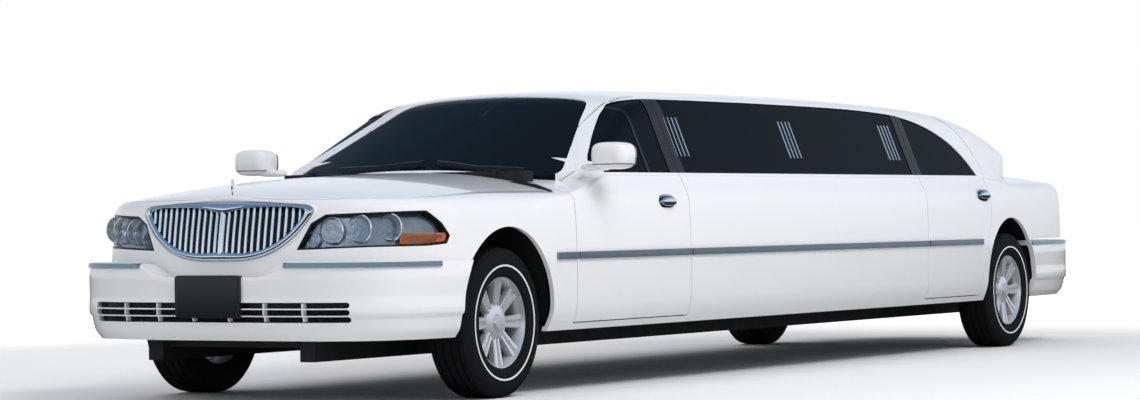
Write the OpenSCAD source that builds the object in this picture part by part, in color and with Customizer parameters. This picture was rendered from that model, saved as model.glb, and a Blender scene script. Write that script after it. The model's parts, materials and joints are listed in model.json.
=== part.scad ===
// Stretch limousine: body on a ladder frame, with doors, lids, steering and wheels that move.
// Frame: +X forward, +Y the car's left, +Z up, origin on the ground at the middle of the car.

/* [Overall] */
// Distance between the front and rear axle centres
wheelbase = 6038; // [5000:1:7300]
// From the front axle to the number plate's face
front_overhang = 1080; // [1000:1:1300]
// From the rear axle to the back of the rear bumper
rear_overhang = 1401; // [1300:1:1650]
// Half of the widest part of the body
half_width = 975; // [900:1:1170]
// Height of the roof above the ground
roof_z = 1512; // [1480:1:1800]

/* [Body] */
// Height of the sills above the ground
sill_z = 296; // [290:1:310]
// Height of the belt line, where the windows start
belt_z = 1040; // [1020:1:1060]
// Thickness of doors, pillars and body walls
wall = 48; // [38:1:58]
// Shut gap round doors and lids
shut_gap = 8; // [7:1:12]
// Shut gap behind the door window frames, where the frame swings rearward
frame_gap = 24; // [21:1:28]
// Thickness of the window glass
glass_t = 6; // [4:1:9]
// Depth of the glass behind the outer skin
glass_in = 12; // [8:1:20]

/* [Doors] */
// Front door length
front_door_l = 1154; // [1000:1:1300]
// Rear door length at the sill
rear_door_l = 770; // [650:1:930]

/* [Wheels] */
// Tyre outer diameter
tyre_d = 702; // [640:1:720]
// Tyre width
tyre_w = 225; // [190:1:240]
// Rim seat diameter
rim_d = 436; // [400:1:450]
// Distance between the front wheels' centre planes
front_track = 1610; // [1560:1:1640]
// Distance between the rear wheels' centre planes
rear_track = 1640; // [1600:1:1690]
// Radius of the wheel arch openings
arch_r = 398; // [392:1:410]
// Number of wheel spokes
spokes = 8; // [5:1:10]

/* [Chassis] */
// Outer face of the frame rails from the centre line
rail_y = 462; // [430:1:465]
// Width of a frame rail
rail_w = 80; // [60:1:100]
// Underside of the frame rails
rail_z = 200; // [180:1:220]
// Radius of the wheel spindles
spindle_r = 35; // [25:1:42]

/* [Hidden] */
$fn = 64;

length = front_overhang + wheelbase + rear_overhang;
front_x = length / 2 - front_overhang;     // front axle
rear_x = front_x - wheelbase;              // rear axle
axle_z = tyre_d / 2;
door_x = front_x - 582;                    // front door's leading edge
pillar_x = door_x - front_door_l - shut_gap; // front door's trailing shut line
rear_door_x = rear_x + 560 + rear_door_l;  // rear door's leading edge
roof_rise = roof_z - 1512;                 // how far the roof is above its usual height
rail_top = rail_z + 90;
arch_z = axle_z + 49;                      // centre of the wheel arch circle
front_arch_x = front_x + 25;
rear_arch_x = rear_x + 15;
clear = 0.3;                               // seam between pieces that lie against each other
run = 0.05;                                // running clearance of a spindle
deck_x = rear_x - 530;                     // leading edge of the trunk lid
lid_half = 700;                            // half width of the trunk lid
hood_half = 790;                           // half width of the hood
hood_x = front_x - 545;                    // rear edge of the hood
tail_x = rear_x - rear_overhang;           // rear-most point
king_y = front_track / 2 - 75;             // steering axis
king_r = 15;
swing_gap = 3;                             // more room behind a door, whose inner edge swings rearward
pin_r = 3;                                 // hinge pins of doors and lids
eye_r = 6;
hinge_y = half_width + eye_r + 1;          // door hinge axes, just outside the skin
hinge_heights = [480, 800];
hood_hinge_z = 1070;
lid_hinge_z = 1101;
paint = "white";

// Outline points moved inwards by t, for a closed outline that runs anticlockwise
function unit(v) = v / norm(v);
function inset(p, t) = [for (i = [0:len(p) - 1])
  let (a = p[(i + len(p) - 1) % len(p)], b = p[i], c = p[(i + 1) % len(p)],
       u = unit(b - a), v = unit(c - b), n = [-u[1], u[0]], m = [-v[1], v[0]])
  b + (n + m) * t / (1 + n * m)];
function both(p) = concat(p, [for (i = [len(p) - 1:-1:0]) [-p[i][0], p[i][1]]]);

// Half width lost to the section's curve at each height: [inset from half_width, z]
low_section = [[50, sill_z], [7, 400], [0, 650], [9, 900], [30, 960], [75, 1010], [175, 1045], [375, 1075], [700, 1100]];
cabin_section = [[12, 880], [30, 960], [57, belt_z - 20], [105, belt_z + 102 + roof_rise / 3],
  [190, roof_z - 169], [230, roof_z - 72], [285, roof_z - 34], [375, roof_z - 12], [575, roof_z]];

function section(rows) = both([for (r = rows) [half_width - r[0], r[1]]]);
// Side outline of hood, belt and trunk: [x, z]
low_side = [[tail_x + 70, sill_z], [front_x + 973, sill_z], [front_x + 973, 660], [front_x + 930, 925],
  [front_x + 870, 962], [front_x + 690, 990], [front_x + 150, 1037], [front_x - 640, 1064],
  [deck_x - 20, 1092], [tail_x + 330, 1075], [tail_x + 180, 1035], [tail_x + 105, 960]];
// Side outline of the cabin: windscreen, roof and rear window
cabin_side = [[rear_x - 545, 880], [front_x - 640, 880], [front_x - 640, 1064],
  [front_x - 1480, roof_z - 50], [front_x - 1900, roof_z - 14], [front_x - 2600, roof_z],
  [rear_x + 1840, roof_z], [rear_x + 990, roof_z - 34], [rear_x + 480, roof_z - 83],
  [rear_x + 270, roof_z - 112], [rear_x - 200, roof_z - 270], [rear_x - 545, 1085]];
// Plan outlines, right half as seen from above with x across: [x, y]
low_plan = [[tail_x + 70, -600], [tail_x + 150, -760], [tail_x + 330, -880], [tail_x + 800, -950],
  [rear_x, -half_width], [front_x + 260, -half_width], [front_x + 520, -940], [front_x + 680, -880],
  [front_x + 770, -790], [front_x + 850, -660], [front_x + 905, -540], [front_x + 950, -390],
  [front_x + 973, -160]];
cabin_plan = [[rear_x - 545, -700], [rear_x - 300, -820], [rear_x + 250, -half_width],
  [front_x - 960, -half_width], [front_x - 730, -860], [front_x - 680, -760], [front_x - 640, -450]];
bumper_plan = [[tail_x, -560], [tail_x + 90, -780], [tail_x + 260, -890], [tail_x + 800, -955],
  [rear_x, -half_width], [front_x + 260, -half_width], [front_x + 560, -945], [front_x + 780, -860],
  [front_x + 930, -690], [front_x + 1020, -450], [front_x + front_overhang - 14, -200]];
function whole(p) = concat(p, [for (i = [len(p) - 1:-1:0]) [p[i][0], -p[i][1]]]);

module side(p, half = 1200) rotate([90, 0, 0]) linear_extrude(2 * half, center = true) polygon(p);
module across(p) rotate([90, 0, 90]) linear_extrude(length + 400, center = true) polygon(p);
module plan(p, z0 = 0, z1 = 2000) translate([0, 0, z0]) linear_extrude(z1 - z0) polygon(p);
module slab(x0, x1, y0, y1, z0, z1) translate([x0, y0, z0]) cube([x1 - x0, y1 - y0, z1 - z0]);
module mid(x0, x1, y, z0, z1) slab(x0, x1, -y, y, z0, z1);

// Filled outer shape of the body, moved inwards by t
module low_form(t = 0) intersection() {
  side(inset(low_side, t));
  across(inset(section(low_section), t));
  plan(inset(whole(low_plan), t));
}
module cabin_form(t = 0) intersection() {
  side(inset(cabin_side, t));
  across(inset(section(cabin_section), t));
  plan(inset(whole(cabin_plan), t));
}
module form(t = 0) { low_form(t); cabin_form(t); }
module hollow() { form(wall); mid(tail_x + 200, front_x + 800, 860, sill_z - 60, sill_z + 60); }
module shell() difference() { form(); hollow(); }
module low_shell() difference() { low_form(); hollow(); }

// Shut lines: outline of each opening in side view, grown by g
door_low = sill_z + 34;
// Each door leaf, and with g the opening round it, whose upper trailing edge stands off further
function front_leaf(e = 0, low = 0) = [[door_x - shut_gap, door_low], [door_x - shut_gap, 1008],
  [door_x - 110, belt_z + 26], [door_x - 600, roof_z - 80], [door_x - 720, roof_z - 46],
  [door_x - front_door_l - e, roof_z - 42], [door_x - front_door_l - e, belt_z - 30],
  [door_x - front_door_l - low, belt_z - 60], [door_x - front_door_l - low, door_low]];
function rear_leaf(e = 0, low = 0) = [[rear_door_x - shut_gap, door_low], [rear_door_x - shut_gap, roof_z - 42],
  [rear_x + 1010 - e, roof_z - 62], [rear_x + 740 - e, roof_z - 112], [rear_x + 500 - e, roof_z - 220],
  [rear_x + 385 - e, belt_z + 60], [rear_x + 360 - e, belt_z - 30], [rear_x + 360 - low, belt_z - 60],
  [rear_x + 360 - low, 770], [rear_x + 440 - low, 660], [rear_x + 490 - low, 540], [rear_x + 510 - low, door_low]];
function front_opening() = inset(front_leaf(frame_gap - shut_gap, swing_gap), -shut_gap);
function rear_opening() = inset(rear_leaf(frame_gap - shut_gap + 8, 2 * swing_gap), -shut_gap);
front_glass = [[front_x - 880, belt_z + 14], [front_x - 969, 1208], [front_x - 1040, roof_z - 167],
  [front_x - 1110, roof_z - 112], [front_x - 1300, roof_z - 90], [pillar_x + 60, roof_z - 84],
  [pillar_x + 60, belt_z + 18]];
side_glass = [[pillar_x - 90, belt_z + 18], [pillar_x - 90, roof_z - 78],
  [rear_door_x + 70, roof_z - 78], [rear_door_x + 70, belt_z + 18]];
rear_glass = [[rear_door_x - 70, belt_z + 20], [rear_door_x - 70, roof_z - 90],
  [rear_x + 980, roof_z - 110], [rear_x + 700, roof_z - 178], [rear_x + 480, roof_z - 290],
  [rear_x + 420, belt_z + 20]];
windscreen_plan = [[front_x - 668, 690], [front_x - 1430, 570], [front_x - 1430, -570], [front_x - 668, -690]];
rear_window_plan = [[rear_x + 210, 540], [rear_x - 480, 640], [rear_x - 480, -640], [rear_x + 210, -540]];

// The body side outboard of the screen pillars and roof: everything that a door can hold
module left(g = 0) plan([[-length, 668 - g], [front_x - 1480, 668 - g], [front_x - 640, 785 - g],
  [length, 785 - g], [length, 1500], [-length, 1500]], -100, 2400);
module half(s, g = 0) if (s > 0) left(g); else mirror([0, 1, 0]) left(g);
module door_space(outline) intersection() {
  side(outline);
  union() for (s = [-1, 1]) half(s, shut_gap);
}
module roof_zone() mid(rear_x + 236, front_x - 1446, 640, roof_z - 200, roof_z + 200);
module hood_zone(g) plan([[hood_x - g, -hood_half - g], [front_x + 560 + g, -hood_half - g],
  [front_x + 760 + g, -600 - g], [front_x + 862 + g, -440], [front_x + 892 + g, -200],
  [front_x + 892 + g, 200], [front_x + 862 + g, 440], [front_x + 760 + g, 600 + g],
  [front_x + 560 + g, hood_half + g], [hood_x - g, hood_half + g]], 800);
module lid_zone(g) mid(tail_x - 50, deck_x + g, lid_half + g, 700 - g, 1300);
// Hinge knuckle: lug and eye on the leaf, lug and pin on the frame, about an upright axis at x
module hinge_eye(x, s) mirror([0, s > 0 ? 0 : 1, 0]) for (z = hinge_heights) difference() {
  union() {
    slab(x - 34, x, hinge_y - 24, hinge_y, z, z + 40);
    translate([x, hinge_y, z]) cylinder(r = eye_r, h = 40);
  }
  translate([x, hinge_y, z - 1]) cylinder(r = pin_r + run, h = 42);
}
module hinge_pin(x, s) mirror([0, s > 0 ? 0 : 1, 0]) for (z = hinge_heights) {
  translate([x, hinge_y, z]) cylinder(r = pin_r, h = 70);
  slab(x - pin_r, x + 34, hinge_y - 24, hinge_y + pin_r, z + 46, z + 70);
}
// The same lying across the car, for a lid whose edge is at x and z, opening towards dir
module lid_eye(x, z, dir) for (s = [-1, 1]) difference() {
  union() {
    slab(dir > 0 ? x : x - 60, dir > 0 ? x + 60 : x, s * 500 - 20, s * 500 + 20, z - 34, z);
    translate([x, s * 500, z]) rotate([90, 0, 0]) cylinder(r = eye_r, h = 40, center = true);
  }
  translate([x, s * 500, z]) rotate([90, 0, 0]) cylinder(r = pin_r + run, h = 60, center = true);
}
module lid_pin(x, z, dir) for (s = [-1, 1]) {
  translate([x, s * 508, z]) rotate([90, 0, 0]) cylinder(r = pin_r, h = 56, center = true);
  slab(dir > 0 ? x - 34 : x - pin_r, dir > 0 ? x + pin_r : x + 34, s > 0 ? 526 : -546, s > 0 ? 546 : -526, z - 34, z + pin_r);
}
module arches(r = arch_r, y0 = 500, y1 = 1200) for (x = [front_arch_x, rear_arch_x], s = [-1, 1])
  translate([x, s * (y0 + y1) / 2, arch_z]) rotate([90, 0, 0]) cylinder(r = r, h = y1 - y0, center = true);
module grille_zone(g = 0) rotate([90, 0, 90]) translate([0, 0, front_x + 700]) linear_extrude(600)
  polygon([[-455 - g, 830], [-370, 752 - g], [-270, 690 - g], [-150, 659 - g], [150, 659 - g],
    [270, 690 - g], [370, 752 - g], [455 + g, 830], [466 + g, 886], [219, 918 + g], [-219, 918 + g], [-466 - g, 886]]);
module headlamp_zone() for (s = [0, 1]) mirror([0, s, 0]) rotate([90, 0, 90])
  translate([0, 0, front_x + 470]) linear_extrude(700)
  polygon([[392, 706], [900, 728], [980, 760], [980, 862], [880, 870], [498, 858], [440, 800]]);
module tail_lamp_zone() for (s = [-1, 1]) slab(tail_x, tail_x + 330, s > 0 ? lid_half + 20 : -1000,
  s > 0 ? 1000 : -lid_half - 20, 740, 930);

/* ---- chassis ---- */
module frame_rails() color("dimgray") {
  for (s = [-1, 1]) slab(tail_x + 130, front_x + 900, s > 0 ? rail_y - rail_w : -rail_y, s > 0 ? rail_y : rail_w - rail_y, rail_z, rail_top);
  for (x = [front_x + 760, front_x - 40, front_x - 520, rear_x + 3800, rear_x + 2300, rear_x + 800, rear_x - 700, tail_x + 150])
    mid(x, x + 90, rail_y - rail_w, rail_top - 28, rail_top);
}
module floor_pan() color("black") difference() {
  intersection() {
    union() {
      mid(rear_x + 420, front_x - 495, 1100, rail_top, rail_top + 12);
      mid(tail_x + 150, rear_x + 50, rail_y - 5, rail_top + 190, rail_top + 200);
      for (s = [-1, 1]) slab(tail_x + 180, tail_x + 240, s > 0 ? rail_y - rail_w : -rail_y + 5,
        s > 0 ? rail_y - 5 : rail_w - rail_y, rail_top, rail_top + 190);
    }
    hollow();
  }
  arches(arch_r + 32, rail_y + 2);
}
module engine_block() color("gray") mid(front_x - 380, front_x + 330, 250, rail_top, 820);
module exhaust_system() color("silver") {
  for (s = [-1, 1]) translate([0, s * 300, rail_top - 28 - 40]) {
    translate([tail_x + 120, 0, 0]) rotate([0, 90, 0]) cylinder(r = 26, h = front_x - 900 - tail_x - 120);
    translate([rear_x + 1900, 0, 0]) rotate([0, 90, 0]) cylinder(r = 40, h = 520);
  }
}
module fuel_tank() color("dimgray") mid(rear_x - 600, rear_x - 260, 230, rail_z + 10, rail_top + 190);
module drive_shaft() color("gray") translate([rear_x + 158, 0, rail_z + 32]) rotate([0, 90, 0])
  cylinder(r = 25, h = wheelbase - 158 - 900);
module rear_axle() color("dimgray") {
  translate([rear_x, 0, axle_z]) {
    rotate([90, 0, 0]) cylinder(r = 42, h = rear_track - 150, center = true);
    rotate([90, 0, 0]) cylinder(r = spindle_r, h = rear_track + 110, center = true);
    rotate([90, 0, 0]) cylinder(r = 122, h = 190, center = true);
  }
  translate([rear_x, 0, rail_z + 32]) rotate([0, 90, 0]) cylinder(r = 32, h = 158);
  for (s = [-1, 1]) translate([rear_x - 50, s * (rail_y - rail_w / 2) - 25, rail_top]) cube([100, 50, axle_z - rail_top]);
  for (s = [-1, 1]) translate([rear_x, s * (rear_track / 2 - 70), axle_z]) rotate([90, 0, 0]) cylinder(r = 140, h = 12, center = true);
}
module front_suspension() color("dimgray") for (s = [0, 1]) mirror([0, s, 0]) {
  for (z = [axle_z - 126, axle_z + 104]) slab(front_x - 30, front_x + 30, z > axle_z ? rail_y - 60 : rail_y, king_y + 26, z, z + 22);
  translate([front_x, king_y, axle_z - 115]) cylinder(r = king_r, h = 230);
  slab(front_x - 30, front_x + 30, rail_y - 60, rail_y - 20, rail_top, axle_z + 126);
}
module radiator() color("black") mid(front_x + 770, front_x + 820, 320, rail_top, 640);
module wheel_housings() color("black") intersection() {
  difference() {
    union() {
      arches(arch_r + 28, rail_y, 1000);
      arches(arch_r + 28, rail_y, 1000);
    }
    arches(arch_r + 22, rail_y + 8, 1000);
    mid(-length, length, 1200, 0, rail_top);
    for (x = [front_x, rear_x]) mid(x - 70, x + 70, 520, 0, axle_z + 160);
  }
  low_form(wall + clear);
}

/* ---- inner body ---- */
module firewall() color("black") intersection() {
  mid(front_x - 512, front_x - 500, 1100, rail_top, 1040);
  low_form(wall);
}
module cowl_panel() color("black") {
  lid_pin(hood_x - shut_gap / 2, hood_hinge_z, 1);
  cowl_skin();
}
module cowl_skin() intersection() {
  low_shell();
  mid(front_x - 640, hood_x - shut_gap, 700, 900, 1200);
}
module dashboard() color("dimgray") mid(front_x - 790, front_x - 512, 830, 690, 950);
module steering_wheel() color("black") translate([front_x - 790 - 22 * cos(70) - clear, 380, 860]) rotate([0, -70, 0]) {
  cylinder(r = 22, h = 110);
  translate([0, 0, 110]) rotate_extrude() translate([175, 0]) circle(r = 16);
  translate([0, 0, 110]) cylinder(r = 45, h = 20, center = true);
  for (a = [0, 120, 240]) rotate([0, 0, a]) translate([0, -12, 104]) cube([176, 24, 12]);
}
module seat(x, y, w) {
  slab(x - 500, x, y - w / 2, y + w / 2, rail_top + 12, 560);
  slab(x - 620, x - 490, y - w / 2, y + w / 2, rail_top + 12, 1130);
}
module front_seats() color("dimgray") for (s = [-1, 1]) seat(front_x - 1130, s * 400, 540);
module partition() color("black") difference() {
  intersection() {
    mid(pillar_x - 130, pillar_x - 100, 1100, rail_top + 12, roof_z);
    form(wall);
  }
  mid(pillar_x - 200, pillar_x, 430, 900, 1330);
}
module passenger_seats() color("dimgray") {
  seat(rear_x + 1080, 0, 1300);
  slab(rear_x + 1500, pillar_x - 900, -840, -380, rail_top + 12, 560);
  slab(rear_x + 1500, pillar_x - 900, -840, -700, 559, 960);
}
module bar_cabinet() color("saddlebrown") slab(rear_x + 1500, pillar_x - 900, 520, 840, rail_top + 12, 840);
module rear_bulkhead() color("black") difference() {
  intersection() {
    union() {
      mid(rear_x + 220, rear_x + 235, 1100, rail_top, 1050);
      mid(rear_x - 500, rear_x + 220, 1100, 1035, 1050);
    }
    form(wall);
  }
  arches(arch_r + 28, rail_y, 1200);
  mid(rear_x - 600, rear_x + 219, 1200, 0, 1035);
}

/* ---- fixed outer panels ---- */
module front_fenders() color(paint) {
  for (s = [-1, 1]) hinge_pin(door_x - shut_gap / 2, s);
  fender_skins();
}
module fender_skins() difference() {
  low_shell();
  mid(tail_x - 100, front_x - 660, 1300, 0, 2000);
  mid(front_x - 661, front_x + 2000, 300, 0, 2000);
  door_space(front_opening());
  hood_zone(shut_gap + 2);
  plan([[front_x + 300, -1200], [front_x + 2000, -1200], [front_x + 2000, 1200], [front_x + 300, 1200]], 0, 662);
  grille_zone();
  headlamp_zone();
  arches();
  mid(front_x - 641, hood_x - shut_gap, 700, 900, 1200);
  cabin_form(0);
}
module side_panels() color(paint) {
  for (s = [-1, 1]) hinge_pin(rear_door_x - shut_gap / 2, s);
  side_skins();
}
module side_skins() difference() {
  shell();
  mid(front_x - 660, front_x + 2000, 1300, 0, 2000);
  mid(tail_x - 100, rear_x + 1300, 1300, 0, 2000);
  mid(front_x - 661, front_x + 2000, 500, 0, 1064);
  door_space(front_opening());
  door_space(rear_opening());
  side(side_glass);
  roof_zone();
  plan(windscreen_plan);
  mid(front_x - 1450, front_x - 600, 570, 0, 2000);
}
module rear_quarters() color(paint) {
  lid_pin(deck_x + shut_gap / 2, lid_hinge_z, -1);
  quarter_skins();
}
module quarter_skins() difference() {
  shell();
  mid(rear_x + 1300, front_x + 2000, 1300, 0, 2000);
  door_space(rear_opening());
  roof_zone();
  plan(rear_window_plan, belt_z);
  lid_zone(shut_gap);
  mid(tail_x - 100, rear_x - 330, 1300, 0, 668);
  tail_lamp_zone();
  arches();
}
module roof() color(paint) intersection() { shell(); roof_zone(); }
module bumper_form(t) intersection() {
  across(inset(section(low_section), t));
  plan(inset(whole(bumper_plan), t));
}
module bumper_hollow() {
  bumper_form(wall);
  plan(inset(whole(bumper_plan), wall + 60), 0, 420);
}
module front_bumper() color(paint) difference() {
  intersection() {
    bumper_form(0);
    slab(front_x + 300, front_x + 1200, -1200, 1200, sill_z, 650);
  }
  intersection() { bumper_hollow(); mid(front_x, front_x + 1200, 1200, 0, 632); }
  low_form(wall);
  arches();
  for (z = [392, 422, 452]) mid(front_x + 900, front_x + 1200, 560, z, z + 20);
}
module number_plate() color("black") mid(front_x + front_overhang - 14, front_x + front_overhang, 178, 402, 594);
module rear_bumper() color(paint) difference() {
  intersection() {
    bumper_form(0);
    slab(tail_x - 10, rear_x - 338, -1200, 1200, sill_z, 660);
  }
  intersection() { bumper_hollow(); mid(tail_x, rear_x, 1200, 0, 640); }
  low_form(wall);
  arches();
}
module grille() color("silver") difference() {
  intersection() { low_form(0); grille_zone(-clear); }
  low_form(40);
  for (y = [-400:50:400]) if (y != 0) slab(front_x + 700, front_x + 1200, y - 17, y + 17, 780, 880);
}
module headlamps() color("lightgray") intersection() {
  difference() { low_form(4); low_form(wall + 40); }
  headlamp_zone();
  difference() { mid(front_x, front_x + 2000, 1200, 663, 2000); hood_zone(shut_gap); grille_zone(); arches(); }
}
module tail_lamps() color("red") intersection() {
  difference() { low_form(2); low_form(wall); }
  tail_lamp_zone();
}
module pane(t = glass_in) difference() { cabin_form(t); cabin_form(t + glass_t); }
module windscreen() color("dimgray") intersection() { pane(); plan(windscreen_plan, 1070); mid(front_x - 1446, front_x, 800, 0, 2000); }
module rear_window() color("dimgray") intersection() { pane(); plan(rear_window_plan, belt_z); mid(-length, rear_x + 236, 800, 0, 2000); }
module side_windows() color("dimgray") intersection() { pane(); side(side_glass); union() { half(1); half(-1); } }

/* ---- lids ---- */
module hood() color(paint) {
  lid_eye(hood_x - shut_gap / 2, hood_hinge_z, 1);
  hood_skin();
}
module hood_skin() intersection() {
  difference() { low_form(); low_form(wall - 12); cabin_form(0); }
  hood_zone(0);
  mid(hood_x, front_x + 2000, 1000, 846, 2000);
  difference() { mid(hood_x, front_x + 2000, 1000, 846, 2000); grille_zone(shut_gap); headlamp_zone(); }
}
module trunk_lid() color(paint) {
  lid_eye(deck_x + shut_gap / 2, lid_hinge_z, -1);
  trunk_skin();
}
module trunk_skin() intersection() {
  difference() { low_form(); low_form(wall - 12); }
  lid_zone(0);
}

/* ---- doors ---- */
module front_door_panel(s) color(paint) {
  hinge_eye(door_x - shut_gap / 2, s);
  front_door_skin(s);
}
module front_door_skin(s) difference() {
  intersection() { shell(); side(front_leaf()); half(s); }
  side(front_glass);
}
module rear_door_panel(s) color(paint) {
  hinge_eye(rear_door_x - shut_gap / 2, s);
  rear_door_skin(s);
}
module rear_door_skin(s) difference() {
  intersection() { shell(); side(rear_leaf()); half(s); }
  side(rear_glass);
}
module front_door_pane(s) color("dimgray") intersection() { pane(); side(front_glass); half(s); }
module rear_door_pane(s) color("dimgray") intersection() { pane(); side(rear_glass); half(s); }
module mirror_unit(s) color(paint) mirror([0, s > 0 ? 0 : 1, 0]) {
  difference() {
    hull() {
      slab(front_x - 850, front_x - 770, 985, 1150, 1070, 1190);
      slab(front_x - 820, front_x - 715, 1000, 1130, 1090, 1175);
    }
    slab(front_x - 860, front_x - 840, 1000, 1140, 1080, 1180);
  }
  difference() {
    slab(front_x - 835, front_x - 765, 870, 1000, 1082, 1110);
    cabin_form(0);
  }
}

/* ---- running gear ---- */
module knuckle(s) color("dimgray") mirror([0, s > 0 ? 0 : 1, 0]) difference() {
  union() {
    slab(front_x - 40, front_x + 40, king_y - 40, king_y + 40, axle_z - 95, axle_z + 95);
    translate([front_x, king_y, axle_z]) rotate([-90, 0, 0]) cylinder(r = spindle_r, h = 130);
    translate([front_x, king_y + 40, axle_z]) rotate([-90, 0, 0]) cylinder(r = 140, h = 12);
  }
  translate([front_x, king_y, 0]) cylinder(r = king_r + run, h = 2 * axle_z);
}
module tyre(x, y) color([0.06, 0.06, 0.06]) translate([x, y, axle_z]) rotate([90, 0, 0]) rotate_extrude($fn = 96)
  polygon([[rim_d / 2, -tyre_w / 2 + 20], [rim_d / 2 + 30, -tyre_w / 2], [tyre_d / 2 - 40, -tyre_w / 2],
    [tyre_d / 2 - 12, -tyre_w / 2 + 14], [tyre_d / 2, -tyre_w / 2 + 32], [tyre_d / 2, tyre_w / 2 - 32],
    [tyre_d / 2 - 12, tyre_w / 2 - 14], [tyre_d / 2 - 40, tyre_w / 2], [rim_d / 2 + 30, tyre_w / 2],
    [rim_d / 2, tyre_w / 2 - 20]]);
module wheel(x, y, s) color("silver") translate([x, y, axle_z]) rotate([-90 * s, 0, 0]) difference() {
  union() {
    difference() {
      translate([0, 0, -92]) cylinder(r = rim_d / 2, h = 188);
      translate([0, 0, -93]) cylinder(r = rim_d / 2 - 16, h = 190);
    }
    cylinder(r = 80, h = 74);
    for (i = [0:spokes - 1]) rotate([0, 0, 360 / spokes * i]) translate([60, -30, 44]) cube([rim_d / 2 - 70, 60, 26]);
  }
  translate([0, 0, -10]) cylinder(r = spindle_r + run, h = 66);
}

frame_rails();
floor_pan();
engine_block();
exhaust_system();
fuel_tank();
drive_shaft();
rear_axle();
front_suspension();
radiator();
wheel_housings();
firewall();
cowl_panel();
front_fenders();
side_panels();
rear_quarters();
roof();
front_bumper();
number_plate();
grille();
headlamps();
tail_lamps();
rear_bumper();
windscreen();
rear_window();
side_windows();
dashboard();
steering_wheel();
front_seats();
partition();
passenger_seats();
bar_cabinet();
rear_bulkhead();
hood();
trunk_lid();
front_door_panel(1);  // front_door_left
front_door_panel(-1);  // front_door_right
front_door_pane(1);  // front_door_glass_left
front_door_pane(-1);  // front_door_glass_right
mirror_unit(1);  // mirror_left
mirror_unit(-1);  // mirror_right
rear_door_panel(1);  // rear_door_left
rear_door_panel(-1);  // rear_door_right
rear_door_pane(1);  // rear_door_glass_left
rear_door_pane(-1);  // rear_door_glass_right
knuckle(1);  // knuckle_left
knuckle(-1);  // knuckle_right
tyre(front_x, front_track / 2);  // tyre_front_left
tyre(front_x, -front_track / 2);  // tyre_front_right
tyre(rear_x, rear_track / 2);  // tyre_rear_left
tyre(rear_x, -rear_track / 2);  // tyre_rear_right
wheel(front_x, front_track / 2, 1);  // wheel_front_left
wheel(front_x, -front_track / 2, -1);  // wheel_front_right
wheel(rear_x, rear_track / 2, 1);  // wheel_rear_left
wheel(rear_x, -rear_track / 2, -1);  // wheel_rear_right
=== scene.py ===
"""Stretch limousine: smooth panels, glass, lamps, grille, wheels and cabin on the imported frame."""
import json
import math

import bmesh
import bpy
import numpy as np
from mathutils import Matrix, Vector
from mathutils.bvhtree import BVHTree

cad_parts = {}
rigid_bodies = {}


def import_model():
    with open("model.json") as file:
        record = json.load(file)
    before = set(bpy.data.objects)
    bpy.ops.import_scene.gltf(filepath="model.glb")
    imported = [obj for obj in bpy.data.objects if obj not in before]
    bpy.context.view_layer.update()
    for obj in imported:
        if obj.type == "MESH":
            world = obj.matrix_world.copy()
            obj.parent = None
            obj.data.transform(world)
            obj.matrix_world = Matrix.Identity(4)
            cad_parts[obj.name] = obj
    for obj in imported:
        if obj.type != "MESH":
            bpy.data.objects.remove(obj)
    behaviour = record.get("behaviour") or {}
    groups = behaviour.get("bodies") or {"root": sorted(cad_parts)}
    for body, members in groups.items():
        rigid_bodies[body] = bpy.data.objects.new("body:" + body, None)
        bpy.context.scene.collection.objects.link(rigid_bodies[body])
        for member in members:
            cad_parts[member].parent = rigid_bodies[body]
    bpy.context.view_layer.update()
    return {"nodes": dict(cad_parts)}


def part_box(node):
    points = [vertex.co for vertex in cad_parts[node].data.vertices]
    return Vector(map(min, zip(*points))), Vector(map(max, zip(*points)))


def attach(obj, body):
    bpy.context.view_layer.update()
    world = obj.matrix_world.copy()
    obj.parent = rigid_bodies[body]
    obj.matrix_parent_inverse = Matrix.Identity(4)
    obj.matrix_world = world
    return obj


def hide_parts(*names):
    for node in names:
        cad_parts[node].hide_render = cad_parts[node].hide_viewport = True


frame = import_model()
for name in ("Cube", "Light", "Camera"):
    if name in bpy.data.objects:
        bpy.data.objects.remove(bpy.data.objects[name])

# ---- Camera, floor and light ----
# The car stands on a pale studio floor under one large soft key and two fills. The camera is placed
# from the front axle, low and well ahead of the car's left front corner, with a long lens.
FRONT = (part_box("tyre_front_left")[0][0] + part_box("tyre_front_left")[1][0]) / 2
REAR = (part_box("tyre_rear_left")[0][0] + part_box("tyre_rear_left")[1][0]) / 2
AXLE_Z = (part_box("tyre_front_left")[0][2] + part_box("tyre_front_left")[1][2]) / 2


def aimed(obj, place, yaw, pitch, roll):
    look = Vector((math.cos(pitch) * math.cos(yaw), math.cos(pitch) * math.sin(yaw), math.sin(pitch)))
    right = look.cross(Vector((0, 0, 1))).normalized()
    up = right.cross(look)
    x = right * math.cos(roll) + up * math.sin(roll)
    y = up * math.cos(roll) - right * math.sin(roll)
    turn = Matrix((x, y, -look)).transposed()
    obj.matrix_world = Matrix.Translation(place) @ turn.to_4x4()


camera = bpy.data.objects.new("camera", bpy.data.cameras.new("camera"))
camera.data.lens = 107.44
camera.data.sensor_width = 36
camera.data.shift_x = -0.0141
camera.data.shift_y = -0.0044
camera.data.clip_end = 200
aimed(camera, (FRONT + 13.5485, 9.0735, 0.8591), -2.6239, 0.0051, -0.0113)
bpy.context.collection.objects.link(camera)
bpy.context.scene.camera = camera
bpy.context.scene.view_settings.view_transform = "Standard"


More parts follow.
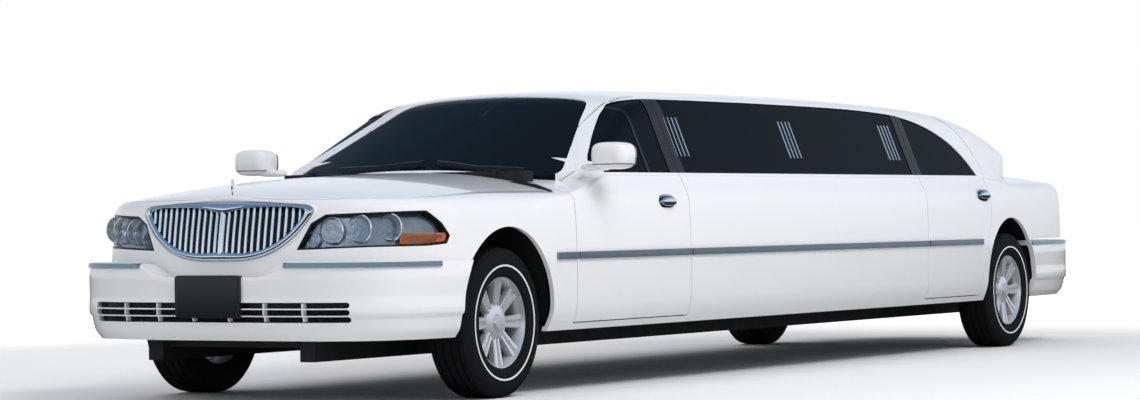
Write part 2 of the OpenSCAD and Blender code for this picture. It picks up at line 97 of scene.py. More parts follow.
class Wire:
    """A shader socket that takes part in arithmetic."""

    def __init__(self, tree, socket):
        self.tree, self.socket = tree, socket

    def _math(self, operation, a, b=None):
        return self.tree.node("ShaderNodeMath", dict(operation=operation), **({"0": a} if b is None
                else {"0": a, "1": b}))

    def __add__(self, other):

        return self._math("ADD", self, other)

    def __radd__(self, other):
        return self._math("ADD", other, self)

    def __sub__(self, other):
        return self._math("SUBTRACT", self, other)

    def __rsub__(self, other):
        return self._math("SUBTRACT", other, self)

    def __mul__(self, other):
        return self._math("MULTIPLY", self, other)

    def __rmul__(self, other):
        return self._math("MULTIPLY", other, self)


class Finish:
    """A material's node tree around one Principled shader, whose fixed values are set on its sockets."""

    def __init__(self, name, color, **fixed):
        self.material = bpy.data.materials.new(name)
        self.material.use_nodes = True
        self.material.diffuse_color = (*color, 1)
        self.tree = self.material.node_tree
        self.shader = self.tree.nodes["Principled BSDF"]
        self.output = self.tree.nodes["Material Output"]
        self.shader.inputs["Base Color"].default_value = (*color, 1)
        for socket, value in fixed.items():
            self.shader.inputs[socket.replace("_", " ")].default_value = value

    def node(self, kind, settings=None, out=0, **values):
        node = self.tree.nodes.new(kind)
        for key, value in (settings or {}).items():
            setattr(node, key, value)
        for key, value in values.items():
            socket = node.inputs[int(key)] if key.isdigit() else node.inputs[key.replace("_", " ")]
            self.put(socket, value)
        return Wire(self, node.outputs[out])

    def put(self, socket, value):
        if isinstance(value, Wire):
            self.tree.links.new(value.socket, socket)
        else:
            socket.default_value = value

    def set(self, socket, value):
        self.put(self.shader.inputs[socket], value)

    def place(self):
        return self.node("ShaderNodeTexCoord", out="Object")

    def noise(self, scale, detail=3.0):
        return self.node("ShaderNodeTexNoise", Vector=self.place(), Scale=scale, Detail=detail)

    def spread(self, value, low, high):
        return self.node("ShaderNodeMapRange", Value=value, To_Min=low, To_Max=high)

    def mixed(self, factor, a, b):
        mix = self.tree.nodes.new("ShaderNodeMix")
        mix.data_type = "RGBA"
        for socket, value in ((mix.inputs[0], factor), (mix.inputs[6], a), (mix.inputs[7], b)):
            self.put(socket, value if isinstance(value, (Wire, float)) else (*value, 1))
        return Wire(self, mix.outputs[2])

    def bump(self, height, strength, distance=0.001):
        self.set("Normal", self.node("ShaderNodeBump", Height=height, Strength=strength, Distance=distance))


floor_finish = Finish("floor", (0.86, 0.86, 0.86), Roughness=0.9)
path = floor_finish.tree.nodes.new("ShaderNodeLightPath")
seen = Wire(floor_finish, path.outputs["Is Camera Ray"])
spot = floor_finish.tree.nodes.new("ShaderNodeVectorMath")
spot.operation = "LENGTH"
floor_finish.put(spot.inputs[0], floor_finish.place())
distance = Wire(floor_finish, spot.outputs["Value"])
rim = floor_finish.node("ShaderNodeMapRange", Value=distance, From_Min=5.0, From_Max=11.0, To_Min=0.0,
                        To_Max=1.0)
glow = floor_finish.node("ShaderNodeEmission", Color=(1, 1, 1, 1), Strength=seen * rim)
# Glossy rays see the floor as near-black instead of its own pale colour: a painted reflection of dark ground,
# shown in the paint, chrome and glass.
mirror_side = Wire(floor_finish, path.outputs["Is Glossy Ray"])
floor_painted_reflection = floor_finish.node("ShaderNodeBsdfDiffuse", Color=(0.05, 0.048, 0.045, 1))
floor_with_painted_reflection = floor_finish.node("ShaderNodeMixShader", **{"0": mirror_side, "1": Wire(floor_finish,
        floor_finish.shader.outputs[0]), "2": floor_painted_reflection})
both = floor_finish.node("ShaderNodeAddShader", **{"0": floor_with_painted_reflection, "1": glow})
floor_finish.put(floor_finish.output.inputs["Surface"], both)
bpy.ops.mesh.primitive_plane_add(size=160)
floor = bpy.context.object
floor.name = "floor"
floor.data.materials.append(floor_finish.material)

world = bpy.data.worlds.new("studio")
bpy.context.scene.world = world
world.use_nodes = True
sky = world.node_tree
back = sky.nodes["Background"]
back.inputs["Color"].default_value = (0.95, 0.97, 1.0, 1)
back.inputs["Strength"].default_value = 0.62
gloss = sky.nodes.new("ShaderNodeBackground")
either = sky.nodes.new("ShaderNodeMixShader")
place = sky.nodes.new("ShaderNodeTexCoord")
height = sky.nodes.new("ShaderNodeSeparateXYZ")
ramp = sky.nodes.new("ShaderNodeValToRGB")
sky.links.new(place.outputs["Generated"], height.inputs[0])
sky.links.new(height.outputs["Z"], ramp.inputs[0])
ramp.color_ramp.elements[0].color = (0.72, 0.76, 0.80, 1)
ramp.color_ramp.elements[1].position = 0.55
ramp.color_ramp.elements[1].color = (0.12, 0.26, 0.46, 1)
middle = ramp.color_ramp.elements.new(0.16)
middle.color = (0.80, 0.86, 0.94, 1)
sky.links.new(ramp.outputs["Color"], gloss.inputs["Color"])
white = sky.nodes.new("ShaderNodeBackground")
white.inputs["Color"].default_value = (1, 1, 1, 1)
mix = sky.nodes.new("ShaderNodeMixShader")
rays = sky.nodes.new("ShaderNodeLightPath")
sky.links.new(rays.outputs["Is Camera Ray"], mix.inputs[0])
sky.links.new(rays.outputs["Is Glossy Ray"], either.inputs[0])
sky.links.new(back.outputs[0], either.inputs[1])
sky.links.new(gloss.outputs[0], either.inputs[2])
sky.links.new(either.outputs[0], mix.inputs[1])
sky.links.new(white.outputs[0], mix.inputs[2])
sky.links.new(mix.outputs[0], sky.nodes["World Output"].inputs["Surface"])


def lamp(name, place, target, size, watts):
    data = bpy.data.lights.new(name, "AREA")
    data.shape = "RECTANGLE"
    data.size, data.size_y = size
    data.energy = watts
    obj = bpy.data.objects.new(name, data)
    way = Vector(target) - Vector(place)
    obj.matrix_world = Matrix.Translation(place) @ way.to_track_quat("-Z", "Y").to_matrix().to_4x4()
    bpy.context.collection.objects.link(obj)
    obj.visible_glossy = False


lamp("key", (3, 8, 10), (0, 0, 0.8), (9, 4), 860)
lamp("nose_fill", (12, 2, 4), (3, 0, 0.7), (4, 3), 40)
lamp("far_fill", (-3, -9, 8), (0, 0, 1), (9, 4), 300)

# ---- Body shell ----
# Pressed steel panels in white enamel. Two smooth closed forms, the waisted lower body and the cabin
# above it, are hollowed to the panels' thickness, and every panel is cut from them along its shut lines.
SILL, BELT = 0.298, 1.043
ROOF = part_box("roof")[1][2] - 0.001
SIDE = 0.975
SHUT = 0.005
PANEL = 0.022


def smooth_path(points, count):
    """Evenly spaced points on a centripetal curve through the given ones."""
    p = np.array(points, float)
    p = np.vstack([2 * p[0] - p[1], p, 2 * p[-1] - p[-2]])
    out = []
    for i in range(1, len(p) - 2):
        a, b, c, d = p[i - 1:i + 3]
        t = [0.0]
        for q, r in ((a, b), (b, c), (c, d)):
            t.append(t[-1] + max(np.linalg.norm(r - q), 1e-6) ** 0.5)
        for s in np.linspace(t[1], t[2], 24, endpoint=False):
            e = [((t[k + 1] - s) * m + (s - t[k]) * n) / (t[k + 1] - t[k]) for k, m,
                 n in ((0, a, b), (1, b, c), (2, c, d))]
            f = [((t[k + 2] - s) * e[k] + (s - t[k]) * e[k + 1]) / (t[k + 2] - t[k]) for k in (0, 1)]
            out.append(((t[2] - s) * f[0] + (s - t[1]) * f[1]) / (t[2] - t[1]))
    out = np.array(out + [p[-2]])
    run = np.concatenate([[0], np.cumsum(np.linalg.norm(np.diff(out, axis=0), axis=1))])
    at = np.linspace(0, run[-1], count)
    return np.stack([np.interp(at, run, out[:, k]) for k in range(out.shape[1])], axis=1)


def profile(points):
    """A smooth function through (x, value) points."""
    fine = smooth_path(sorted(points), 400)
    order = np.argsort(fine[:, 0])
    return lambda x: np.interp(x, fine[order, 0], fine[order, 1])


def smooth_min(a, b, k):
    h = np.maximum(k - np.abs(a - b), 0) / k
    return np.minimum(a, b) - h * h * k / 4


def step(x, low, high):
    t = np.clip((x - low) / (high - low), 0, 1)
    return t * t * (3 - 2 * t)


def mesh_object(name, verts, faces, finish=None):
    mesh = bpy.data.meshes.new(name)
    mesh.from_pydata([tuple(v) for v in verts], [], [tuple(f) for f in faces])
    obj = bpy.data.objects.new(name, mesh)
    bpy.context.collection.objects.link(obj)
    if finish is not None:
        mesh.materials.append(finish.material)
    return obj


def tube_faces(rings, sides, closed=False):
    """Faces of a tube through rings of points, closed into a loop or with a flat face at each end."""
    faces = [(i * sides + j, i * sides + (j + 1) % sides,
              (i + 1) % rings * sides + (j + 1) % sides, (i + 1) % rings * sides + j)
             for i in range(rings if closed else rings - 1) for j in range(sides)]
    if not closed:
        faces += [tuple(range(sides)), tuple((rings - 1) * sides + j for j in range(sides))[::-1]]
    return faces


def rounded(obj, angle=35):
    for face in obj.data.polygons:
        face.use_smooth = True
    obj.data.set_sharp_from_angle(angle=math.radians(angle))
    return obj


def mirrored_solid(name, rows):
    """A closed body from a left half whose border lies on the centre plane."""
    n, m = rows.shape[:2]
    bm = bmesh.new()
    for side in (1, -1):
        v = [[bm.verts.new((p[0], side * p[1], p[2])) for p in row] for row in rows]
        for i in range(n - 1):
            for j in range(m - 1):
                quad = (v[i][j], v[i][j + 1], v[i + 1][j + 1], v[i + 1][j])
                bm.faces.new(quad if side > 0 else quad[::-1])
    bmesh.ops.remove_doubles(bm, verts=bm.verts, dist=2e-5)
    bmesh.ops.dissolve_degenerate(bm, edges=bm.edges, dist=1e-6)
    bmesh.ops.recalc_face_normals(bm, faces=bm.faces)
    mesh = bpy.data.meshes.new(name)
    bm.to_mesh(mesh)
    bm.free()
    obj = bpy.data.objects.new(name, mesh)
    bpy.context.collection.objects.link(obj)
    return obj


def plan_frame(outline, t, count, spine):
    """Points along a plan outline moved in by t, and the inward ray of each to the centre line."""
    p = smooth_path(outline, count)
    tangent = np.gradient(p, axis=0)
    normal = np.stack([tangent[:, 1], -tangent[:, 0]], axis=1)
    normal /= np.linalg.norm(normal, axis=1)[:, None]
    if normal[count // 2, 1] < 0:
        normal = -normal
    normal[0] = (1, 0)
    normal[-1] = (-1, 0)
    p = p - normal * t
    p[0, 1] = p[-1, 1] = 0
    centre = np.stack([spine(p[:, 0]), np.zeros(count)], axis=1)
    return p, normal, centre


nose_plan = [(0.975, 0), (0.970, 0.16), (0.955, 0.32), (0.925, 0.47), (0.875, 0.61), (0.80, 0.73),
             (0.69, 0.83),
             (0.54, 0.905), (0.34, 0.945), (0.08, 0.960), (-0.3, 0.968), (-0.9, SIDE), (-2.2, SIDE)]
tail_plan = [(2.6, SIDE), (1.2, SIDE), (0.6, 0.968), (0.1, 0.955), (-0.4, 0.935), (-0.8, 0.90),
             (-1.03, 0.855),
             (-1.18, 0.77), (-1.26, 0.62), (-1.305, 0.40), (-1.325, 0.18), (-1.33, 0)]
body_plan = [(FRONT + x, y) for x, y in nose_plan] + [(REAR + x, y) for x, y in tail_plan]
waist = profile([(0.25, 0.060), (SILL, 0.047), (0.335, 0.028), (0.395, 0.008), (0.46, 0.002), (0.655, 0.0),
                 (0.85, 0.006),
                 (0.93, 0.014), (0.962, 0.024), (1.0, 0.043), (1.05, 0.062), (1.2, 0.09)])
nose_lean = profile([(0.2, 0), (0.65, 0.0), (0.78, 0.015), (0.90, 0.038), (1.0, 0.06), (1.2, 0.1)])
hood_line = profile([(FRONT + x, z) for x, z in ((1.1, 0.905), (0.93, 0.930), (0.87, 0.950), (0.69, 0.984),
                                                 (0.45, 1.011),
                                                  (0.15, 1.037), (-0.3, 1.056), (-0.64, 1.066),
                                                  (-1.0, 1.07))])
deck_line = profile([(REAR + x, z) for x, z in ((-0.3, 1.09), (-0.55, 1.090), (-0.9, 1.080), (-1.1, 1.066),
                                                (-1.22, 1.045),
                                                 (-1.30, 1.02), (-1.5, 0.98))])
FRONT_CABIN, REAR_CABIN = FRONT - 0.75, REAR + 0.10


def deck(x, y):
    """Height of the hood, the belt shelf and the trunk."""
    hood = hood_line(x) - (0.085 - 0.02 * step(x, FRONT - 0.6, FRONT + 0.6)) * (np.abs(y) / 0.8) ** 2.2
    trunk = deck_line(x) - 0.085 * (np.abs(y) / 0.88) ** 2.6
    ahead = step(x, FRONT_CABIN - 0.25, FRONT_CABIN + 0.22)
    behind = 1 - step(x, REAR_CABIN - 0.45, REAR_CABIN + 0.35)
    return hood * ahead + trunk * behind + BELT * (1 - ahead - behind)


def swept_form(name, plan, t, inset, top, radius, low=SILL, bend=0.22):
    """A closed form with the inset profile swept round the plan outline and a top surface over it."""
    mid = (FRONT + REAR) / 2
    half = (plan[0][0] - plan[-1][0]) / 2
    p, normal, centre = plan_frame(plan, t, 300, lambda x: mid
                                   + (x - mid) * (1 - bend * np.abs((x - mid) / half) ** 14))
    ray = centre - p
    reach = np.maximum(np.linalg.norm(ray, axis=1), 1e-6)
    ray = ray / reach[:, None]
    rows = []
    for i in range(len(p)):
        lean = normal[i, 0] ** 2 * (normal[i, 0] > 0)
        r = radius(p[i, 0])
        at = p[i] + ray[i] * (inset(0.95, lean) + r)
        shoulder = top(at[0], at[1]) - r - t
        z = np.linspace(low + t, shoulder, 34)
        start = inset(shoulder, lean)
        turn = np.linspace(0, math.pi / 2, 9)[1:-1]
        d = np.concatenate([[reach[i], reach[i] * 0.5], inset(z, lean), start + r * (1 - np.cos(turn))])
        z = np.concatenate([[low + t, low + t], z, shoulder + r * np.sin(turn)])
        across = start + r + (reach[i] - start - r) * np.linspace(0, 1, 26)
        flat = p[i] + ray[i] * np.minimum(d, reach[i])[:, None]
        lid = p[i] + ray[i] * across[:, None]
        row = np.vstack([np.column_stack([flat, z]),
                         np.column_stack([lid, top(lid[:, 0], lid[:, 1]) - t + 0 * lid[:, 0]])])
        row[[0, -1], 1] = 0
        if i in (0, len(p) - 1):
            row[:, 1] = 0
        rows.append(row)
    return mirrored_solid(name, np.array(rows))


def shoulder_radius(x):
    ahead = step(x, FRONT_CABIN - 0.3, FRONT_CABIN + 0.5)
    behind = 1 - step(x, REAR_CABIN - 0.5, REAR_CABIN + 0.2)
    return 0.012 + 0.075 * max(ahead, behind)


def lower_form(t=0.0, name="lower_form"):
    return swept_form(name, body_plan, t, lambda z, lean: waist(z) * (1 - lean) + nose_lean(z) * lean, deck,
                      shoulder_radius)


cabin_plan = [(FRONT + x, y) for x, y in ((-0.630, 0), (-0.638, 0.2), (-0.660, 0.42), (-0.695, 0.60),
                                          (-0.745, 0.74), (-0.83, 0.845),
                                          (-0.98, 0.898), (-1.25, 0.915), (-2.0, 0.920))] + \
             [(REAR + x, y) for x, y in ((2.6, 0.920), (1.2, 0.920), (0.6, 0.915), (0.25, 0.895),
                                         (-0.05, 0.85), (-0.28, 0.77),
                                         (-0.43, 0.64), (-0.50, 0.47), (-0.535, 0.25), (-0.545, 0))]
roof_line = profile([(FRONT - 0.6, ROOF - 0.09), (FRONT - 1.48, ROOF - 0.040), (FRONT - 1.9, ROOF - 0.016),
                     (FRONT - 2.6, ROOF - 0.002),
                     ((FRONT + REAR) / 2, ROOF), (REAR + 1.84, ROOF - 0.003), (REAR + 0.99, ROOF - 0.026),
                     (REAR + 0.48, ROOF - 0.062),
                     (REAR - 0.1, ROOF - 0.125)])


def cabin_top(x, y, t):
    y = np.abs(y)
    roof = roof_line(x) - 0.036 * (y / 0.64) ** 2.4 - t
    screen = 1.062 + 0.478 * (FRONT - 0.634 - 0.135 * (y / 0.72) ** 2 - x) - t * 1.1
    d = x - (REAR - 0.545 + 0.16 * (y / 0.72) ** 2)
    near = np.minimum(d, 1.6)
    rear = 1.088 + 0.54 * near - 0.16 * near * near + 0.05 * (d - near) - t * 1.1
    lean = y + t * 1.06
    side = BELT - 0.010 + (0.917 - lean) * 2.30 + 1.1 * np.maximum(0.917 - lean, 0) ** 2
    top = smooth_min(roof, screen, 0.05)
    top = smooth_min(top, rear, 0.10)
    return smooth_min(top, side, 0.085)


def cabin_form(t=0.0, name="cabin_form"):
    mid = (FRONT + REAR) / 2
    half = (cabin_plan[0][0] - cabin_plan[-1][0]) / 2
    p, normal, centre = plan_frame(cabin_plan, t, 300, lambda x: mid
                                   + (x - mid) * (1 - 0.30 * np.abs((x - mid) / half) ** 10))
    rows = []
    base = 0.93
    for i in range(len(p)):
        ray = centre[i] - p[i]
        s = np.linspace(0, 1, 64) ** 1.6
        x = p[i, 0] + ray[0] * s
        y = p[i, 1] + ray[1] * s
        z = np.maximum(cabin_top(x, y, t), base + 0.01)
        row = np.vstack([[centre[i, 0], 0, base], [p[i, 0], p[i, 1], base], np.stack([x, y, z], axis=1)])
        row[[0, -1], 1] = 0
        if i in (0, len(p) - 1):
            row[:, 1] = 0
        rows.append(row)
    return mirrored_solid(name, np.array(rows))


def prism(points, axis, low, high, name="cutter"):
    """A straight bar: the outline in the two axes other than the given one, from low to high."""
    k = "xyz".index(axis)
    n = len(points)
    verts = []
    for at in (low, high):
        for a, b in points:
            v = [a, b]
            v.insert(k, at)
            verts.append(v)
    faces = [tuple(range(n)), tuple(range(2 * n - 1, n - 1, -1))]
    faces += [(i, n + i, n + (i + 1) % n, (i + 1) % n) for i in range(n)]
    obj = mesh_object(name, verts, faces)
    bm = bmesh.new()
    bm.from_mesh(obj.data)
    bmesh.ops.triangulate(bm, faces=[f for f in bm.faces if len(f.verts) > 4])
    bmesh.ops.recalc_face_normals(bm, faces=bm.faces)
    bm.to_mesh(obj.data)
    bm.free()
    return obj


def box(x0, x1, y0, y1, z0, z1):
    return prism([(x0, y0), (x1, y0), (x1, y1), (x0, y1)], "z", z0, z1)


def bar_drum(x, z, r, y0, y1, count=72):
    turn = [2 * math.pi * i / count for i in range(count)]
    return prism([(x + r * math.cos(a), z + r * math.sin(a)) for a in turn], "y", y0, y1)


def carve(base, *steps, name=None, finish=None):
    """A copy of base after a row of cuts, each ("keep" or "cut", [tools])."""
    result = base.copy()
    result.data = base.data.copy()
    bpy.context.collection.objects.link(result)
    for kind, tools in steps:
        if kind == "keep" and len(tools) > 1:
            tools = [joined(tools)]
        for tool in tools:
            mod = result.modifiers.new("cut", "BOOLEAN")
            mod.operation = "INTERSECT" if kind == "keep" else "DIFFERENCE"
            mod.solver = "MANIFOLD"
            mod.object = tool
    graph = bpy.context.evaluated_depsgraph_get()
    mesh = bpy.data.meshes.new_from_object(result.evaluated_get(graph))
    result.modifiers.clear()
    result.data = mesh
    if name:
        result.name = name
    if finish:
        mesh.materials.clear()
        mesh.materials.append(finish.material)
        for face in mesh.polygons:
            face.material_index = 0
    return result


def joined(objs, name=None):
    """One object from several, by putting their meshes together."""
    bm = bmesh.new()
    slots = []
    for obj in objs:
        for material in obj.data.materials:
            if material not in slots:
                slots.append(material)
    for obj in objs:
        start = len(bm.faces)
        bm.from_mesh(obj.data)
        bm.faces.ensure_lookup_table()
        for face in bm.faces[start:]:
            if obj.data.materials:
                face.material_index = slots.index(obj.data.materials[min(face.material_index,
                        len(obj.data.materials) - 1)])
    mesh = bpy.data.meshes.new(name or "joined")
    bm.to_mesh(mesh)
    bm.free()
    for material in slots:
        mesh.materials.append(material)
    out = bpy.data.objects.new(name or "joined", mesh)
    bpy.context.collection.objects.link(out)
    for obj in objs:
        bpy.data.objects.remove(obj)
    return out


def fitted(obj, body, slot, *nodes):
    """Puts a finished piece on its body and hides the CAD nodes it stands for; the slot is not used."""
    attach(obj, body)
    if nodes:
        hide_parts(*nodes)
    return obj


lower_skin, lower_core = lower_form(), lower_form(PANEL, "lower_core")
cabin_skin, cabin_core = cabin_form(), cabin_form(PANEL, "cabin_core")
lower_shell = carve(lower_skin, ("cut", [lower_core, box(-5, 5, -0.90, 0.90, 0.1, 0.36)]))
cabin_shell = carve(cabin_skin, ("cut", [cabin_core, box(-5, 5, -0.86, 0.86, 0.9, 0.99)]))

paint = Finish("white_enamel", (0.82, 0.82, 0.835), Roughness=0.28, Coat_Weight=0.9, Coat_Roughness=0.03,
               Specular_IOR_Level=0.5)
paint.set("Roughness", paint.spread(paint.noise(0.8, 1.0), 0.27, 0.29))
paint.bump(paint.noise(5.0, 1.0), 0.02, 0.0004)
black_trim = Finish("black_trim", (0.007, 0.007, 0.008), Roughness=0.25, Specular_IOR_Level=0.2)
black_trim.set("Roughness", black_trim.spread(black_trim.noise(60.0), 0.2, 0.35))
glass = Finish("tinted_glass", (0.004, 0.006, 0.008), Roughness=0.02, Specular_IOR_Level=0.05, IOR=1.3)
glass.set("Roughness", glass.spread(glass.noise(2.0), 0.015, 0.03))

front_leaf = [(FRONT - 0.590, 0.334), (FRONT - 0.584, 0.98), (FRONT - 0.60, 1.2), (FRONT - 1.7435, 1.2),
              (FRONT - 1.7435, 0.334)]
rear_edge = [(REAR + 0.352, 1.2), (REAR + 0.352, 0.80), (REAR + 0.385, 0.72), (REAR + 0.445, 0.62),
             (REAR + 0.485, 0.50),
             (REAR + 0.500, 0.40), (REAR + 0.500, 0.334)]
rear_leaf = [(REAR + 1.326, 0.334), (REAR + 1.326, 1.2)] + [tuple(v) for v in smooth_path(rear_edge, 30)]
front_frame = [(FRONT - 0.66, 0.9), (FRONT - 0.805, 1.050), (FRONT - 1.068, 1.210), (FRONT - 1.260, 1.315),
               (FRONT - 1.435, 1.407), (FRONT - 1.52, 1.440),
               (FRONT - 1.60, 1.456), (FRONT - 1.7435, 1.462), (FRONT - 1.7435, 0.9)]
rear_frame = [(REAR + 1.326, 0.9), (REAR + 1.326, ROOF - 0.038)] + [tuple(v) for v in smooth_path([
    (REAR + 1.20, ROOF - 0.040), (REAR + 0.95, ROOF - 0.062), (REAR + 0.70, ROOF - 0.112),
    (REAR + 0.52, 1.325), (REAR + 0.40, 1.21),
    (REAR + 0.35, 1.10), (REAR + 0.345, 0.9)], 30)]
daylight = [tuple(v) for v in smooth_path([
    (FRONT - 0.851, BELT + 0.012), (FRONT - 0.905, 1.100), (FRONT - 1.061, 1.191), (FRONT - 1.25, 1.295),
    (FRONT - 1.40, 1.374), (FRONT - 1.48, 1.410),
    (FRONT - 1.60, 1.430), (FRONT - 1.9, 1.436), (FRONT - 2.5, 1.438), ((FRONT + REAR) / 2, 1.438),
    (REAR + 1.75, 1.425), (REAR + 1.256, 1.396),
    (REAR + 0.90, 1.330), (REAR + 0.66, 1.240), (REAR + 0.52, 1.140), (REAR + 0.447, BELT + 0.012)], 140)]
screen_zone = [tuple(v) for v in smooth_path([
    (FRONT - 1.497, 0), (FRONT - 1.498, 0.25), (FRONT - 1.496, 0.44), (FRONT - 1.470, 0.524),
    (FRONT - 1.274, 0.602), (FRONT - 1.079, 0.672), (FRONT - 0.891, 0.739),
    (FRONT - 0.785, 0.768), (FRONT - 0.735, 0.74), (FRONT - 0.70, 0.60), (FRONT - 0.672, 0.378),
    (FRONT - 0.660, 0)], 80)]
rear_zone = [tuple(v) for v in smooth_path([
    (REAR + 0.20, 0), (REAR + 0.19, 0.35), (REAR + 0.15, 0.50), (REAR + 0.05, 0.555), (REAR - 0.2, 0.600),
    (REAR - 0.36, 0.615), (REAR - 0.43, 0.55),
    (REAR - 0.48, 0.30), (REAR - 0.49, 0)], 60)]
hood_zone = [tuple(v) for v in smooth_path([
    (FRONT + 0.905, 0), (FRONT + 0.902, 0.24), (FRONT + 0.885, 0.38), (FRONT + 0.855, 0.50),
    (FRONT + 0.80, 0.61), (FRONT + 0.68, 0.715),
    (FRONT + 0.45, 0.778), (FRONT + 0.1, 0.803), (FRONT - 0.3, 0.812), (FRONT - 0.50, 0.805),
    (FRONT - 0.545, 0.74), (FRONT - 0.56, 0.4), (FRONT - 0.562, 0)], 90)]
lid_zone = [(REAR - 0.535, 0), (REAR - 0.525, 0.45), (REAR - 0.50, 0.66), (REAR - 0.53, 0.705),
            (REAR - 1.5, 0.705), (REAR - 1.5, 0)]


def full(half_plan):
    """Both halves of an outline given on one side of the centre plane."""
    return half_plan + [(x, -y) for x, y in half_plan[::-1] if abs(y) > 1e-4]


def grown(points, g):
    """The outline moved outwards by g."""
    p = np.array(points)
    area = np.sum(p[:, 0] * np.roll(p[:, 1], -1) - p[:, 1] * np.roll(p[:, 0], -1))
    a, c = np.roll(p, 1, axis=0), np.roll(p, -1, axis=0)
    u = (p - a) / np.linalg.norm(p - a, axis=1)[:, None]
    v = (c - p) / np.linalg.norm(c - p, axis=1)[:, None]
    n = np.stack([u[:, 1] + v[:, 1], -u[:, 0] - v[:, 0]], axis=1)
    n /= (1 + np.sum(u * v, axis=1))[:, None]
    return [tuple(q) for q in p + n * g * (1 if area > 0 else -1)]


def side_bars(outline, g=0.0, low=0.3):
    shape = grown(outline, g) if g else outline
    return [prism(shape, "y", low, 1.3), prism(shape, "y", -1.3, -low)]


def wheel_cuts():
    return [bar_drum(x, AXLE_Z + 0.049, ARCH, a, b) for x in ARCH_X for a, b in ((0.5, 1.2), (-1.2, -0.5))]


ARCH = 0.398
ARCH_X = (FRONT + 0.022, REAR + 0.012)
grille_front = [(0, 0.659), (0.15, 0.664), (0.27, 0.694), (0.37, 0.756), (0.43, 0.822), (0.462, 0.880),
                (0.445, 0.898), (0.32, 0.912), (0.2, 0.918), (0, 0.922)]
grille_outline = [tuple(v) for v in smooth_path(grille_front, 50)]
lamp_front = [(0.398, 0.706), (0.70, 0.716), (1.1, 0.722), (1.1, 0.876), (0.86, 0.874), (0.52, 0.861),
              (0.458, 0.824)]
lamp_side = [(FRONT + 0.480, 0.762), (FRONT + 0.500, 0.727), (FRONT + 0.83, 0.70), (FRONT + 1.1, 0.69),
             (FRONT + 1.1, 0.93),
             (FRONT + 0.60, 0.877), (FRONT + 0.522, 0.818)]


def yz(points, x0=1.0, x1=1.4):
    return prism(points, "x", FRONT + x0 - 0.5, FRONT + x1)


def lamp_zone(g=0.0, sides=(1, -1)):
    bars = []
    for s in sides:
        bar = yz([(s * y, z) for y, z in grown(lamp_front, g)], 0.9)
        low, high = (0.3, 1.3) if s > 0 else (-1.3, -0.3)
        bars.append(carve(bar, ("keep", [prism(grown(lamp_side, g), "y", low, high)])))
        bpy.data.objects.remove(bar)
    return bars


tail_zone_side = [(REAR - 1.10, 0.735), (REAR - 1.5, 0.735), (REAR - 1.5, 0.950), (REAR - 1.16, 0.950)]


def low_front_cut():
    """Everything below the front bumper's upper line, which dips under the grille."""
    line = [(1.2, 0.652), (0.44, 0.652), (0.36, 0.628), (0.28, 0.575)]
    outline = [(-1.2, 0.1), (1.2, 0.1)] + line + [(-y, z) for y, z in line[::-1]]
    return prism(outline, "x", FRONT + 0.27, FRONT + 1.3)


def low_rear_cut():
    """Everything below the rear bumper's upper line."""
    return box(REAR - 1.6, REAR - 0.30, -1.2, 1.2, 0.1, 0.662)


def hood_bar(g=0.0):
    """The hood's outline as an upright bar, g larger all round."""
    return prism(grown(full(hood_zone), g), "z", 0.845 - g, 1.5)


def lid_bar(g=0.0):
    """The trunk lid's outline as an upright bar, g larger all round."""
    return prism(grown(full(lid_zone), g), "z", 0.690 - g, 1.4)


def grille_hole(g):
    """The grille's opening as a bar along the car, g larger all round."""
    far_half = [(-y, z) for y, z in grille_outline[::-1] if y > 1e-4]
    return yz(grown(grille_outline + far_half, g))


SPLIT_F, SPLIT_R = FRONT - 0.660, REAR + 1.30


def door_bars(g, low=0.3):
    return side_bars(front_leaf, g, low) + side_bars(rear_leaf, g, low)


fender = carve(lower_shell, ("cut", [box(-6, SPLIT_F, -2, 2, 0, 2), low_front_cut(), hood_bar(SHUT)]
               + door_bars(SHUT) + wheel_cuts() + lamp_zone(0.002)
               + [grille_hole(0.002), box(FRONT - 0.8, FRONT - 0.565, -0.78, 0.78, 0.8, 1.3)]),
               name="fender_panels", finish=paint)
hood = carve(lower_shell, ("keep", [hood_bar()]), ("cut", [grille_hole(0.004)] + lamp_zone(0.006)),
             name="hood_panel", finish=paint)
side_skin = carve(lower_shell, ("cut", [box(SPLIT_F, 6, -2, 2, 0, 2), box(-6, SPLIT_R, -2, 2, 0, 2),
                                        box(SPLIT_R - 1, SPLIT_F + 1, -0.80, 0.80, 0.5, 1.5)]
                                        + door_bars(SHUT)), name="side_panel_skins", finish=paint)
quarter = carve(lower_shell, ("cut", [box(SPLIT_R, 6, -2, 2, 0, 2), lid_bar(SHUT), low_rear_cut(),
                                      box(REAR - 0.42, SPLIT_R + 0.1, -0.72, 0.72, 0.5, 1.5)]
                                      + door_bars(SHUT) + wheel_cuts()
                + side_bars(tail_zone_side, 0.0, 0.72)), name="quarter_panels", finish=paint)
lid = carve(lower_shell, ("keep", [lid_bar()]), name="trunk_lid_panel", finish=paint)
doors = {}
for side, s in (("left", 0), ("right", 1)):
    for end, outline in (("front", front_leaf), ("rear", rear_leaf)):
        bars = side_bars(outline)
        doors[end, side] = carve(lower_shell, ("keep", [bars[s]]), name=f"{end}_door_skin_{side}",
                                 finish=paint)


def roof_bar(g=0.0):
    """The block that holds the roof panel, g larger all round."""
    return box(REAR + 0.30 - g, FRONT - 1.50 + g, -0.655 - g, 0.655 + g, 1.3, 1.7)


def windows():
    """Bars through the side glass, the windscreen and the rear window."""
    ends = [prism(full(screen_zone), "z", 0.98, 1.6), prism(full(rear_zone), "z", 1.0, 1.6)]
    return side_bars(daylight) + ends


